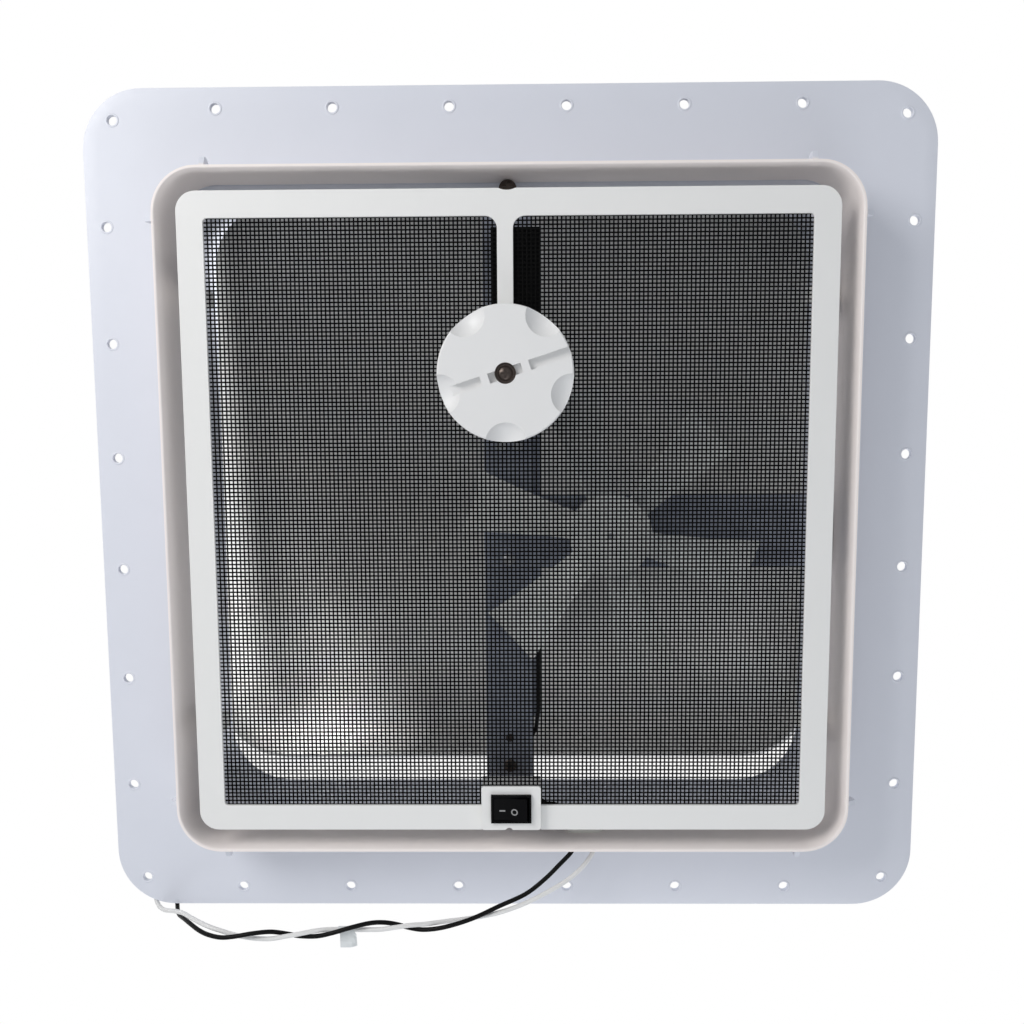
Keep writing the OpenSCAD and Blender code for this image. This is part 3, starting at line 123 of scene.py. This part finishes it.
# %% The two supply leads
LEAD_D = 2.4 * MM
black_route = [(34.5, 179.2, -12), (34.5, 181.4, -12), (33.9, 183.8, -14.6), (32.2, 186, -17.6),
               (26, 191.2, -20.5), (18.4, 197.3, -24), (7.7, 204, -28), (-6.7, 208.9, -32),
               (-20.9, 213.7, -36), (-35, 217, -38.5), (-46, 219.3, -37.2), (-54, 219.4, -35.4),
               (-62, 217.8, -34.4), (-69, 216.5, -35), (-75.8, 215.9, -36.9), (-85, 217, -39.2),
               (-94.6, 219.8, -39.4), (-103.7, 222.8, -37.6), (-113.5, 224.6, -34.4),
               (-121, 224, -33.2), (-129.3, 222, -34.8), (-138.5, 221.8, -36.8), (-148.1, 223.4, -37),
               (-156, 224.8, -35.6), (-164, 225.2, -32.2), (-170.5, 225, -28), (-177, 224.8, -22),
               (-183, 225.6, -15), (-188.5, 227.4, -7.5), (-192, 228.4, -0.5), (-194, 226.4, 4.4),
               (-195, 220.8, 5.8), (-194.5, 213.2, 5), (-192, 205.2, 4), (-186, 198.7, 3.8),
               (-177, 194.7, 3.8), (-165, 192.2, 3.8), (-152, 191.2, 3.8)]
white_route = [(45.5, 179.2, -12), (45.5, 181.4, -12), (45.2, 183.8, -14.6), (44, 186.2, -17.6),
               (39.2, 191.7, -20.5), (31.7, 197.1, -24), (21.9, 201.7, -27.6), (7.7, 207.8, -30.6),
               (-6.7, 212.4, -32.2), (-21.1, 215.2, -32.6), (-35.3, 216.4, -34), (-46, 216.4, -36.8),
               (-54, 216.2, -38.4), (-62, 217.4, -38.4), (-69, 218.7, -38), (-75.8, 219.7, -36.6),
               (-85.8, 220.4, -35.4), (-95.4, 220.2, -35.4), (-103.8, 220.2, -36.6),
               (-113, 221.4, -37.8), (-121, 223.2, -37.2), (-129.5, 225.6, -35.4),
               (-139.7, 226.4, -33.4), (-149.5, 225, -32.6), (-157, 223.2, -31.8),
               (-164.2, 221.8, -30), (-170.5, 221.2, -26.6), (-177, 221.2, -21.6),
               (-184, 222.4, -14.6), (-191.5, 224.8, -8), (-199, 227.4, -2), (-204.6, 227.4, 3.6),
               (-207.5, 221.6, 6.4), (-207, 211.7, 5), (-203, 202.7, 4), (-195, 194.7, 3.8),
               (-184, 188.7, 3.8), (-170, 185.2, 3.8)]
black_line = smooth_route([Vector(p) * MM for p in black_route])
white_line = smooth_route([Vector(p) * MM for p in white_route])
black_lead = wire_curve("black_supply_lead", black_line, LEAD_D)
white_lead = wire_curve("white_supply_lead", white_line, LEAD_D)
print("lead lengths", round(line_length(black_line), 4), round(line_length(white_line), 4))

# %% [markdown]
# Every finish starts from the same few nodes: a slow noise that mottles the colour, a second one
# that breaks up the gloss, and a fine one that gives the skin its grain. Object coordinates are
# in metres here, so a scale of 1000 makes grain of about a millimetre.

# %% Helper for finishes
GRAIN_DEPTH = 0.4 * MM


def new_finish(name, colour, roughness, metallic=0.0, mottle=0.04, mottle_scale=40, grain=0.02,
               grain_scale=1500, gloss_break=0.06):
    """A Principled finish with mottled colour, broken gloss and a fine grain."""
    material = bpy.data.materials.new(name)
    material.use_nodes = True
    tree = material.node_tree
    skin = tree.nodes["Principled BSDF"]
    skin.inputs["Metallic"].default_value = metallic
    place = tree.nodes.new("ShaderNodeTexCoord")

    def noise(scale, detail):
        texture = tree.nodes.new("ShaderNodeTexNoise")
        texture.inputs["Scale"].default_value = scale
        texture.inputs["Detail"].default_value = detail
        tree.links.new(place.outputs["Object"], texture.inputs["Vector"])
        return texture.outputs["Fac"]

    shade = tree.nodes.new("ShaderNodeMix")
    shade.data_type = "RGBA"
    shade.inputs["A"].default_value = (*[c * (1 - mottle) for c in colour], 1)
    shade.inputs["B"].default_value = (*[min(1, c * (1 + mottle)) for c in colour], 1)
    tree.links.new(noise(mottle_scale, 3), shade.inputs["Factor"])
    tree.links.new(shade.outputs["Result"], skin.inputs["Base Color"])
    gloss = tree.nodes.new("ShaderNodeMapRange")
    gloss.inputs["To Min"].default_value = max(0.02, roughness - gloss_break)
    gloss.inputs["To Max"].default_value = min(1, roughness + gloss_break)
    tree.links.new(noise(mottle_scale * 4, 4), gloss.inputs["Value"])
    tree.links.new(gloss.outputs["Result"], skin.inputs["Roughness"])
    bump = tree.nodes.new("ShaderNodeBump")
    bump.inputs["Strength"].default_value = grain
    bump.inputs["Distance"].default_value = GRAIN_DEPTH
    tree.links.new(noise(grain_scale, 2), bump.inputs["Height"])
    tree.links.new(bump.outputs["Normal"], skin.inputs["Normal"])
    return material


# %% [markdown]
# One white moulding carries the flange and the collar, so the difference in tint is painted light.
# The warm tint on the collar is partly its own cream and partly painted warm shade. The cool, darker
# tint on the flange is a painted cool cast of light. The tint is mixed by how far a point lies from
# the middle of the opening, and by its height.

# %% White moulded plastic
COLLAR_TO_FLANGE = (177.0 * MM, 179.0 * MM)
COLLAR_TO_ROOF = (-1.6 * MM, -0.4 * MM)


def paint_shade_and_light_tints(material, collar_shade_tint, flange_light_tint):
    """Painted light: a warm shade tint on the collar and its rim, a cool light tint further out from
    the middle and above the roof plane.
    """
    tree = material.node_tree
    skin = tree.nodes["Principled BSDF"]
    place = tree.nodes.new("ShaderNodeTexCoord")
    split = tree.nodes.new("ShaderNodeSeparateXYZ")
    tree.links.new(place.outputs["Object"], split.inputs["Vector"])
    sides = []
    for axis in "XY":
        size = tree.nodes.new("ShaderNodeMath")
        size.operation = "ABSOLUTE"
        tree.links.new(split.outputs[axis], size.inputs[0])
        sides.append(size.outputs["Value"])
    far = tree.nodes.new("ShaderNodeMath")
    far.operation = "MAXIMUM"
    tree.links.new(sides[0], far.inputs[0])
    tree.links.new(sides[1], far.inputs[1])
    share = tree.nodes.new("ShaderNodeMapRange")
    share.inputs["From Min"].default_value = COLLAR_TO_FLANGE[0]
    share.inputs["From Max"].default_value = COLLAR_TO_FLANGE[1]
    tree.links.new(far.outputs["Value"], share.inputs["Value"])
    above = tree.nodes.new("ShaderNodeMapRange")
    above.inputs["From Min"].default_value = COLLAR_TO_ROOF[0]
    above.inputs["From Max"].default_value = COLLAR_TO_ROOF[1]
    tree.links.new(split.outputs["Z"], above.inputs["Value"])
    either = tree.nodes.new("ShaderNodeMath")
    either.operation = "MAXIMUM"
    tree.links.new(share.outputs["Result"], either.inputs[0])
    tree.links.new(above.outputs["Result"], either.inputs[1])
    painted_tint = tree.nodes.new("ShaderNodeMix")
    painted_tint.data_type = "RGBA"
    painted_tint.inputs["A"].default_value = (*collar_shade_tint, 1)
    painted_tint.inputs["B"].default_value = (*flange_light_tint, 1)
    tree.links.new(either.outputs["Value"], painted_tint.inputs["Factor"])
    both = tree.nodes.new("ShaderNodeMix")
    both.data_type = "RGBA"
    both.blend_type = "MULTIPLY"
    both.inputs["Factor"].default_value = 1
    tree.links.new(skin.inputs["Base Color"].links[0].from_socket, both.inputs["A"])
    tree.links.new(painted_tint.outputs["Result"], both.inputs["B"])
    tree.links.new(both.outputs["Result"], skin.inputs["Base Color"])


flange_white = new_finish("flange_white", (0.97, 0.97, 0.97), 0.38, mottle=0.015, grain=0.03)
# Painted light: warm shade on the collar, a cool cast of light on the flange.
paint_shade_and_light_tints(flange_white, (0.985, 0.915, 0.885), (0.765, 0.79, 0.865))
screen_white = new_finish("screen_white", (0.86, 0.86, 0.845), 0.42, mottle=0.012, grain=0.05)
knob_white = new_finish("knob_white", (0.84, 0.84, 0.835), 0.40, mottle=0.01, grain=0.03)
lid_white = new_finish("lid_white", (0.80, 0.79, 0.77), 0.30, mottle=0.05, mottle_scale=18,
                       grain=0.04)
fan_grey = new_finish("fan_grey", (0.90, 0.91, 0.90), 0.35, mottle=0.03, grain=0.03)
nylon = new_finish("nylon", (0.84, 0.83, 0.78), 0.5)

# %% Metals, rubber and dark plastics
galvanised = new_finish("galvanised", (0.42, 0.45, 0.53), 0.45, 0.55, mottle=0.18, mottle_scale=90,
                        grain=0.05, grain_scale=700, gloss_break=0.12)
zinc = new_finish("zinc", (0.62, 0.63, 0.66), 0.32, 0.95, mottle=0.08, mottle_scale=200)
dark_screw = new_finish("dark_screw", (0.10, 0.08, 0.07), 0.35, 0.8, mottle=0.2, mottle_scale=300)
black_rubber = new_finish("black_rubber", (0.025, 0.025, 0.027), 0.75, grain=0.1, grain_scale=900)
black_plastic = new_finish("black_plastic", (0.004, 0.004, 0.0045), 0.38, mottle=0.1, grain=0.05)
net_black = new_finish("net_black", (0.004, 0.004, 0.004), 0.6, mottle=0.15, mottle_scale=200)
brass = new_finish("brass", (0.72, 0.55, 0.32), 0.35, 0.9, mottle=0.1, mottle_scale=300)
lead_black = new_finish("lead_black", (0.005, 0.005, 0.005), 0.42, mottle=0.1, mottle_scale=150)
lead_white = new_finish("lead_white", (0.80, 0.80, 0.79), 0.42, mottle=0.03, mottle_scale=150)
foil = new_finish("foil", (0.74, 0.77, 0.77), 0.3, 0.1, mottle=0.12, mottle_scale=400)
for dull, level in ((net_black, 0.05), (black_plastic, 0.06), (lead_black, 0.12)):
    dull.node_tree.nodes["Principled BSDF"].inputs["Specular IOR Level"].default_value = level
finish_of_slot = {"white_abs": flange_white, "lid_white": lid_white, "galvanised": galvanised,
                  "zinc_steel": zinc, "dark_screw": dark_screw, "black_rubber": black_rubber,
                  "black_plastic": black_plastic, "black_net": net_black, "fan_plastic": fan_grey,
                  "nylon": nylon, "terminal_brass": brass, "lead_black": lead_black,
                  "lead_white": lead_white, "tape": foil}
for name, node in nodes.items():
    node.data.materials.clear()
    node.data.materials.append(finish_of_slot[slot_of[name]])
print("finishes", len(bpy.data.materials))

# %% [markdown]
# A moulded edge is never sharp. The CAD mesh has crisp corners, so the pieces that are seen close
# are copied, their flat faces are joined up again, and each sharp edge is rounded by a bevel of
# its own width. Weighted normals then keep the flat faces looking flat.

# %% Helper that rounds the edges of a CAD piece
WELD = 0.002 * MM
FLAT = math.radians(0.4)
SHARP = math.radians(35)


def rounded_copy(node, name, edge, finish):
    """A copy of a CAD piece with joined flat faces and rounded edges, which stands for it."""
    grid = bmesh.new()
    grid.from_mesh(nodes[node].data)
    bmesh.ops.remove_doubles(grid, verts=grid.verts, dist=WELD)
    bmesh.ops.dissolve_limit(grid, angle_limit=FLAT, verts=grid.verts, edges=grid.edges)
    if edge:
        corners = [e for e in grid.edges if e.is_manifold and e.calc_face_angle() > SHARP]
        bmesh.ops.bevel(grid, geom=corners, offset=edge, offset_type="OFFSET", segments=3,
                        profile=0.5, affect="EDGES", clamp_overlap=True)
    mesh = bpy.data.meshes.new(name)
    grid.to_mesh(mesh)
    grid.free()
    mesh.polygons.foreach_set("use_smooth", [True] * len(mesh.polygons))
    mesh.set_sharp_from_angle(angle=SHARP)
    return placed(name, mesh, body_of[node], finish, [node])


def placed(name, mesh, body, finish, stands_for=()):
    """Puts a mesh in the scene on its body, with its finish."""
    obj = bpy.data.objects.new(name, mesh)
    scene.collection.objects.link(obj)
    mesh.materials.clear()
    mesh.materials.append(finish)
    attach(obj, body)
    if stands_for:
        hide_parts(*stands_for)
    return obj


def flat_faces(obj):
    """Weighted normals, so that a rounded edge doesn't bend the light on the face beside it."""
    modifier = obj.modifiers.new("flat_faces", "WEIGHTED_NORMAL")
    modifier.keep_sharp = True
    return obj


# %% Pieces with rounded edges
for node, name, edge, finish in [
        ("base_moulding", "flange_and_collar", 0.7 * MM, flange_white),
        ("screen_frame", "screen_rim", 0.4 * MM, screen_white),
        ("switch_housing", "switch_box", 0.6 * MM, screen_white),
        ("knob", "crank_knob", 0.25 * MM, knob_white),
        ("switch_body", "switch_bezel", 0.25 * MM, black_plastic),
        ("switch_rocker", "rocker_key", 0.3 * MM, black_plastic),
        ("fan_rotor", "fan_wheel", 0.3 * MM, fan_grey),
        ("crossbar", "crossbar_channel", 0.4 * MM, galvanised),
        ("motor_bracket", "motor_channel", 0.4 * MM, galvanised),
        ("lid_hinge_leaves", "lid_hinge_plates", 0.3 * MM, lid_white),
        ("lead_grommet", "wall_grommet", 0.2 * MM, nylon),
        ("lid_shell", "lid_dome", 0, lid_white)]:
    made = flat_faces(rounded_copy(node, name, edge, finish))
    print(name, len(made.data.polygons), "faces")

# %% [markdown]
# The switch box is a flat front plate with a smaller box behind it. The CAD solid keeps one outline,
# so here the wall behind the plate is stepped in on the side that faces the knob.

# %% Step behind the switch plate
PLATE_BACK = -38.6
WALL_STEP = 2.1


def step_wall(obj, level, step):
    """Moves the wall on the -Y side in by step, from the level up. Both are in millimetres."""
    grid = bmesh.new()
    grid.from_mesh(obj.data)
    for cut in (level, level + 0.05):
        bmesh.ops.bisect_plane(grid, geom=grid.verts[:] + grid.edges[:] + grid.faces[:], dist=1e-7,
                               plane_co=(0, 0, cut * MM), plane_no=(0, 0, 1))
    edge = min(v.co.y for v in grid.verts)
    for v in grid.verts:
        if v.co.z > (level + 0.02) * MM and v.co.y < edge + (step + 0.1) * MM:
            v.co.y = max(v.co.y, edge + step * MM)
    grid.to_mesh(obj.data)
    grid.free()


step_wall(bpy.data.objects["switch_box"], PLATE_BACK, WALL_STEP)
print("switch plate", round(-PLATE_BACK, 1), "mm under the roof plane at its back")

# %% [markdown]
# Each screw hole in the flange has a low raised lip round it. The lips are one mesh of 28 rings:
# six holes along each side, and one in each corner. The profile is radius and height.

# %% Lips round the screw holes
HOLE_ROW = 214.0
HOLE_CORNER = 208.5
HOLE_PITCH = 61.5
LIP_PROFILE = [(2.62, 0.1), (2.66, -0.16), (2.95, -0.27), (3.35, -0.24), (3.65, -0.10),
               (3.74, 0.1)]


def hole_places():
    along = [HOLE_PITCH * (k - 2.5) for k in range(6)]
    spots = [(x, side * HOLE_ROW) for side in (-1, 1) for x in along]
    spots += [(side * HOLE_ROW, y) for side in (-1, 1) for y in along]
    return spots + [(a * HOLE_CORNER, b * HOLE_CORNER) for a in (-1, 1) for b in (-1, 1)]


def ring_mesh(name, spots, profile, steps=28):
    """The profile turned round each spot."""
    points, faces = [], []
    ring = len(profile)
    for x, y in spots:
        first = len(points)
        for k in range(steps):
            turn = 2 * math.pi * k / steps
            points += [((x + r * math.cos(turn)) * MM, (y + r * math.sin(turn)) * MM, z * MM)
                       for r, z in profile]
        for k in range(steps):
            here, there = first + ring * k, first + ring * ((k + 1) % steps)
            faces += [(here + j, there + j, there + (j + 1) % ring, here + (j + 1) % ring)
                      for j in range(ring)]
    mesh = bpy.data.meshes.new(name)
    mesh.from_pydata(points, [], faces)
    mesh.polygons.foreach_set("use_smooth", [True] * len(faces))
    return mesh


lip_mesh = ring_mesh("hole_lips", hole_places(), LIP_PROFILE)
lips = placed("hole_lips", lip_mesh, "base", flange_white)
print("hole lips", len(lips.data.polygons), "faces")

# %% [markdown]
# The rocker carries the two usual on and off signs, a stroke and a ring. They are printed, so they
# are thin meshes that follow the hollow face of the rocker, a twentieth of a millimetre proud.

# %% Signs on the rocker
SIGN_PROUD = 0.05
ON_SIGN = (-5.9, 151.4)
OFF_SIGN = (1.9, 152.3)
UP = Vector((0, 0, 1))
sign_grey = new_finish("sign_grey", (0.30, 0.30, 0.30), 0.5)
rocker_mesh = bpy.data.objects["rocker_key"].data
rocker_skin = BVHTree.FromPolygons([v.co for v in rocker_mesh.vertices],
                                   [list(p.vertices) for p in rocker_mesh.polygons])


def printed(name, flat_points, faces):
    """A flat drawing in millimetres, laid on the rocker's face."""
    laid = []
    for x, y in flat_points:
        spot = rocker_skin.ray_cast(Vector((x * MM, y * MM, -0.06)), UP)[0]
        laid.append(spot - UP * SIGN_PROUD * MM)
    mesh = bpy.data.meshes.new(name)
    mesh.from_pydata(laid, [], faces)
    return placed(name, mesh, "rocker", sign_grey)


stroke = [(ON_SIGN[0] + 0.5 * i, ON_SIGN[1] + 0.8 * j) for i in range(7) for j in (0, 1)]
on_sign = printed("on_sign", stroke, [(2 * i, 2 * i + 1, 2 * i + 3, 2 * i + 2) for i in range(6)])
turns = [math.pi * k / 16 for k in range(32)]
ring = [(OFF_SIGN[0] + r * math.cos(turn), OFF_SIGN[1] + r * math.sin(turn))
        for turn in turns for r in (1.1, 1.75)]
off_sign = printed("off_sign", ring, [(2 * k, 2 * k + 1, (2 * k + 3) % 64, (2 * k + 2) % 64)
                                      for k in range(32)])
print("rocker signs", len(on_sign.data.polygons), "and", len(off_sign.data.polygons), "faces")

# %% [markdown]
# The insect net is woven from coated black thread, about two millimetres from thread to thread.
# It is made thread by thread: each is a flat tube that rises and dips at every crossing. Where the
# crank shaft and the switch box come through, the threads stop.

# %% The woven net
NET_REACH = 153.0
NET_LEVEL = -34.1
NET_PITCH = (2.15, 2.07)
THREAD_WIDTH = 0.80
THREAD_THICK = 0.34
WEAVE_RISE = 0.13
SHAFT_HOLE = (-1.2, -73.5, 12.0)
BOX_HOLE = (-15.7, 16.1, 140.9)


def thread_runs(across, along):
    """The lengths of thread left between the holes, for a thread at a place across the net."""
    runs = [(-NET_REACH, NET_REACH)]
    hole = SHAFT_HOLE[2] ** 2 - (across - SHAFT_HOLE[1 - along]) ** 2
    cuts = []
    if hole > 0:
        half = math.sqrt(hole)
        cuts.append((SHAFT_HOLE[along] - half, SHAFT_HOLE[along] + half))
    if along == 0 and across > BOX_HOLE[2]:
        cuts.append((BOX_HOLE[0], BOX_HOLE[1]))
    if along == 1 and BOX_HOLE[0] < across < BOX_HOLE[1]:
        cuts.append((BOX_HOLE[2], NET_REACH + 1))
    for low, high in cuts:
        runs = [piece for a, b in runs for piece in ((a, min(b, low)), (max(a, high), b))
                if piece[1] - piece[0] > 1]
    return runs


def thread_places(pitch):
    count = int(2 * NET_REACH / pitch)
    return [(k - count / 2 + 0.5) * pitch for k in range(count)]


def woven_net():
    """Every thread of both directions as a four-sided tube, closed at its ends."""
    points, faces = [], []
    places = [thread_places(NET_PITCH[0]), thread_places(NET_PITCH[1])]
    for along in (0, 1):
        crossings = places[along]
        for number, across in enumerate(places[1 - along]):
            for start, end in thread_runs(across, along):
                stops = [(start, 0)]
                stops += [(c, 1 if (k + number + along) % 2 else -1)
                          for k, c in enumerate(crossings) if start + 0.5 < c < end - 0.5]
                stops.append((end, 0))
                first = len(points)
                for place, rise in stops:
                    z = NET_LEVEL + rise * WEAVE_RISE
                    for side, up in ((-0.5, 0), (0, -0.5), (0.5, 0), (0, 0.5)):
                        sideways = across + side * THREAD_WIDTH
                        spot = (place, sideways) if along == 0 else (sideways, place)
                        points.append((spot[0] * MM, spot[1] * MM, (z + up * THREAD_THICK) * MM))
                for s in range(len(stops) - 1):
                    for k in range(4):
                        a, b = first + 4 * s + k, first + 4 * s + (k + 1) % 4
                        faces.append((a, b, b + 4, a + 4))
                faces.append((first + 3, first + 2, first + 1, first))
                last = len(points) - 4
                faces.append((last, last + 1, last + 2, last + 3))
    mesh = bpy.data.meshes.new("insect_net")
    mesh.from_pydata(points, [], faces)
    return mesh


net = placed("insect_net", woven_net(), "base", net_black, ["screen_mesh"])
print("net faces", len(net.data.polygons))

# %% [markdown]
# A small flag of silver tape is folded over the white lead. Its section goes from behind the lead,
# round it and down, and the corner on the right is bent back along a slanting line.

# %% The tape flag
FLAG_LEFT = -91.6
FLAG_WIDTH = 8.7
FLAG_BEND = -85.6
FLAG_SECTION = [(219.2, -33.9), (218.7, -35.2), (219.1, -36.5), (220.4, -36.9), (222.2, -37.0),
                (224.2, -37.2), (226.2, -37.2), (228.0, -37.0), (229.6, -36.7)]
WRAP_ROWS = 4
FLAG_COLUMNS = 9


def tape_flag():
    """A strip of silver tape folded over the white lead, with one corner bent back."""
    points, faces = [], []
    low_edge = FLAG_SECTION[-1][0]
    for j, (y, z) in enumerate(FLAG_SECTION):
        wraps = j < WRAP_ROWS
        for i in range(FLAG_COLUMNS):
            x = FLAG_LEFT + FLAG_WIDTH * i / (FLAG_COLUMNS - 1) - (1.2 if wraps else 0)
            bent = 0 if wraps else max(0, (x - FLAG_BEND) - 0.32 * (low_edge - y))
            points.append((x * MM, y * MM, (z + 0.7 * bent) * MM))
    for j in range(len(FLAG_SECTION) - 1):
        for i in range(FLAG_COLUMNS - 1):
            a = j * FLAG_COLUMNS + i
            faces.append((a, a + 1, a + FLAG_COLUMNS + 1, a + FLAG_COLUMNS))
    mesh = bpy.data.meshes.new("tape_flag")
    mesh.from_pydata(points, [], faces)
    return mesh


flag = placed("tape_flag", tape_flag(), "base", foil, ["wire_tag"])
thickness = flag.modifiers.new("thickness", "SOLIDIFY")
thickness.thickness = 0.2 * MM
thickness.offset = 0
print("tape flag", len(flag.data.polygons), "faces")

# %% [markdown]
# The leads now get their insulation, and their length is printed. Both are about a third of a metre,
# which is what the photograph shows plus a short tail behind the flange, stripped for a splice.

for lead, finish, slot, node, line, on_it in (
        (black_lead, lead_black, "lead_black", "black_lead", black_line, []),
        (white_lead, lead_white, "lead_white", "white_lead", white_line, [flag])):
    lead.data.materials.append(finish)
    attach(lead, "base")
    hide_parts(node)
    print(lead.name, "declared,", round(line_length(line), 3), "m")

# %% [markdown]
# The world is white for the camera, for reflections and through clear pieces, and a plain soft
# light for everything else.

# %% World
world = bpy.data.worlds.new("studio")
scene.world = world
world.use_nodes = True
sky = world.node_tree
sky.nodes.clear()
rays = sky.nodes.new("ShaderNodeLightPath")
seen = sky.nodes.new("ShaderNodeMath")
seen.operation = "MAXIMUM"
sky.links.new(rays.outputs["Is Camera Ray"], seen.inputs[0])
sky.links.new(rays.outputs["Is Glossy Ray"], seen.inputs[1])
seen_all = sky.nodes.new("ShaderNodeMath")
seen_all.operation = "MAXIMUM"
sky.links.new(seen.outputs["Value"], seen_all.inputs[0])
sky.links.new(rays.outputs["Is Transmission Ray"], seen_all.inputs[1])
soft = sky.nodes.new("ShaderNodeBackground")
soft.inputs["Color"].default_value = (0.90, 0.94, 1.0, 1)
soft.inputs["Strength"].default_value = 0.42
white = sky.nodes.new("ShaderNodeBackground")
white.inputs["Color"].default_value = (1, 1, 1, 1)
white.inputs["Strength"].default_value = 1.0
pick = sky.nodes.new("ShaderNodeMixShader")
sky.links.new(seen_all.outputs["Value"], pick.inputs["Fac"])
sky.links.new(soft.outputs["Background"], pick.inputs[1])
sky.links.new(white.outputs["Background"], pick.inputs[2])
sky_out = sky.nodes.new("ShaderNodeOutputWorld")
sky.links.new(pick.outputs["Shader"], sky_out.inputs["Surface"])

print("soft light", soft.inputs["Strength"].default_value)

# %% [markdown]
# The floor lies well under the vent. Soft light comes from a large window-like lamp at the upper
# left, with a weaker fill from the switch side and a lamp on the roof side, which shines under
# the raised lid.

# %% Floor and lamps
FLOOR_HALF = 30
FLOOR_LEVEL = -0.9
floor_mesh = bpy.data.meshes.new("floor")
floor_corners = [(x * FLOOR_HALF, y * FLOOR_HALF, FLOOR_LEVEL)
                 for x, y in ((-1, -1), (1, -1), (1, 1), (-1, 1))]
floor_mesh.from_pydata(floor_corners, [], [(0, 1, 2, 3)])
floor = bpy.data.objects.new("floor", floor_mesh)
scene.collection.objects.link(floor)
floor_pale = new_finish("floor_pale", (0.86, 0.86, 0.86), 0.7, mottle=0.01, mottle_scale=3)
floor_mesh.materials.append(floor_pale)


def lamp(name, place, target, size, power, colour):
    """A round area lamp that the camera doesn't see. Places and size are in metres."""
    data = bpy.data.lights.new(name, "AREA")
    data.shape = "DISK"
    data.size = size
    data.energy = power
    data.color = colour
    obj = bpy.data.objects.new(name, data)
    scene.collection.objects.link(obj)
    obj.location = place
    obj.rotation_mode = "QUATERNION"
    obj.rotation_quaternion = (Vector(target) - Vector(place)).to_track_quat("-Z", "Y")
    obj.visible_camera = False
    return obj


lamp("key", (-0.75, -0.55, -0.70), (0, 0, 0), 0.6, 6.4, (1, 0.98, 0.96))
lamp("fill", (0.15, 0.9, -0.6), (0, 0, 0), 0.8, 2.6, (0.95, 0.97, 1))
lamp("roof_side", (0.55, 0.55, 0.35), (0, 0.05, 0.05), 0.4, 3.0, (1, 1, 1))
print("lamps", len(bpy.data.lights))

# %% [markdown]
# Daylight also comes in over the curb on the left. One small lamp under the lid rakes across its
# inside, so the front facet is brighter than the left one, and a long one lights the left wall.

# %% Lamps under the lid
rake = lamp("rake", (-0.168, -0.04, 0.106), (-0.138, 0.14, 0.149), 0.02, 0.019, (1, 1, 1))
rake.data.spread = math.radians(34)
left_wall = lamp("left_wall", (-0.150, 0.0, 0.108), (-0.250, 0.0, 0.108), 0.34, 0.045, (1, 1, 1))
left_wall.data.shape = "RECTANGLE"
left_wall.data.size_y = 0.01
left_wall.data.spread = math.radians(100)
LID_OPEN = math.radians(15)
rise = Matrix.Rotation(LID_OPEN, 4, "X")
wall_axes = Matrix(((0, 0, 1, 0), (1, 0, 0, 0), (0, 1, 0, 0), (0, 0, 0, 1)))
left_wall.rotation_quaternion = (rise @ wall_axes).to_quaternion()
for item in (rake, left_wall):
    print(item.name, "points along", [round(v, 2) for v in item.rotation_quaternion @ -UP])
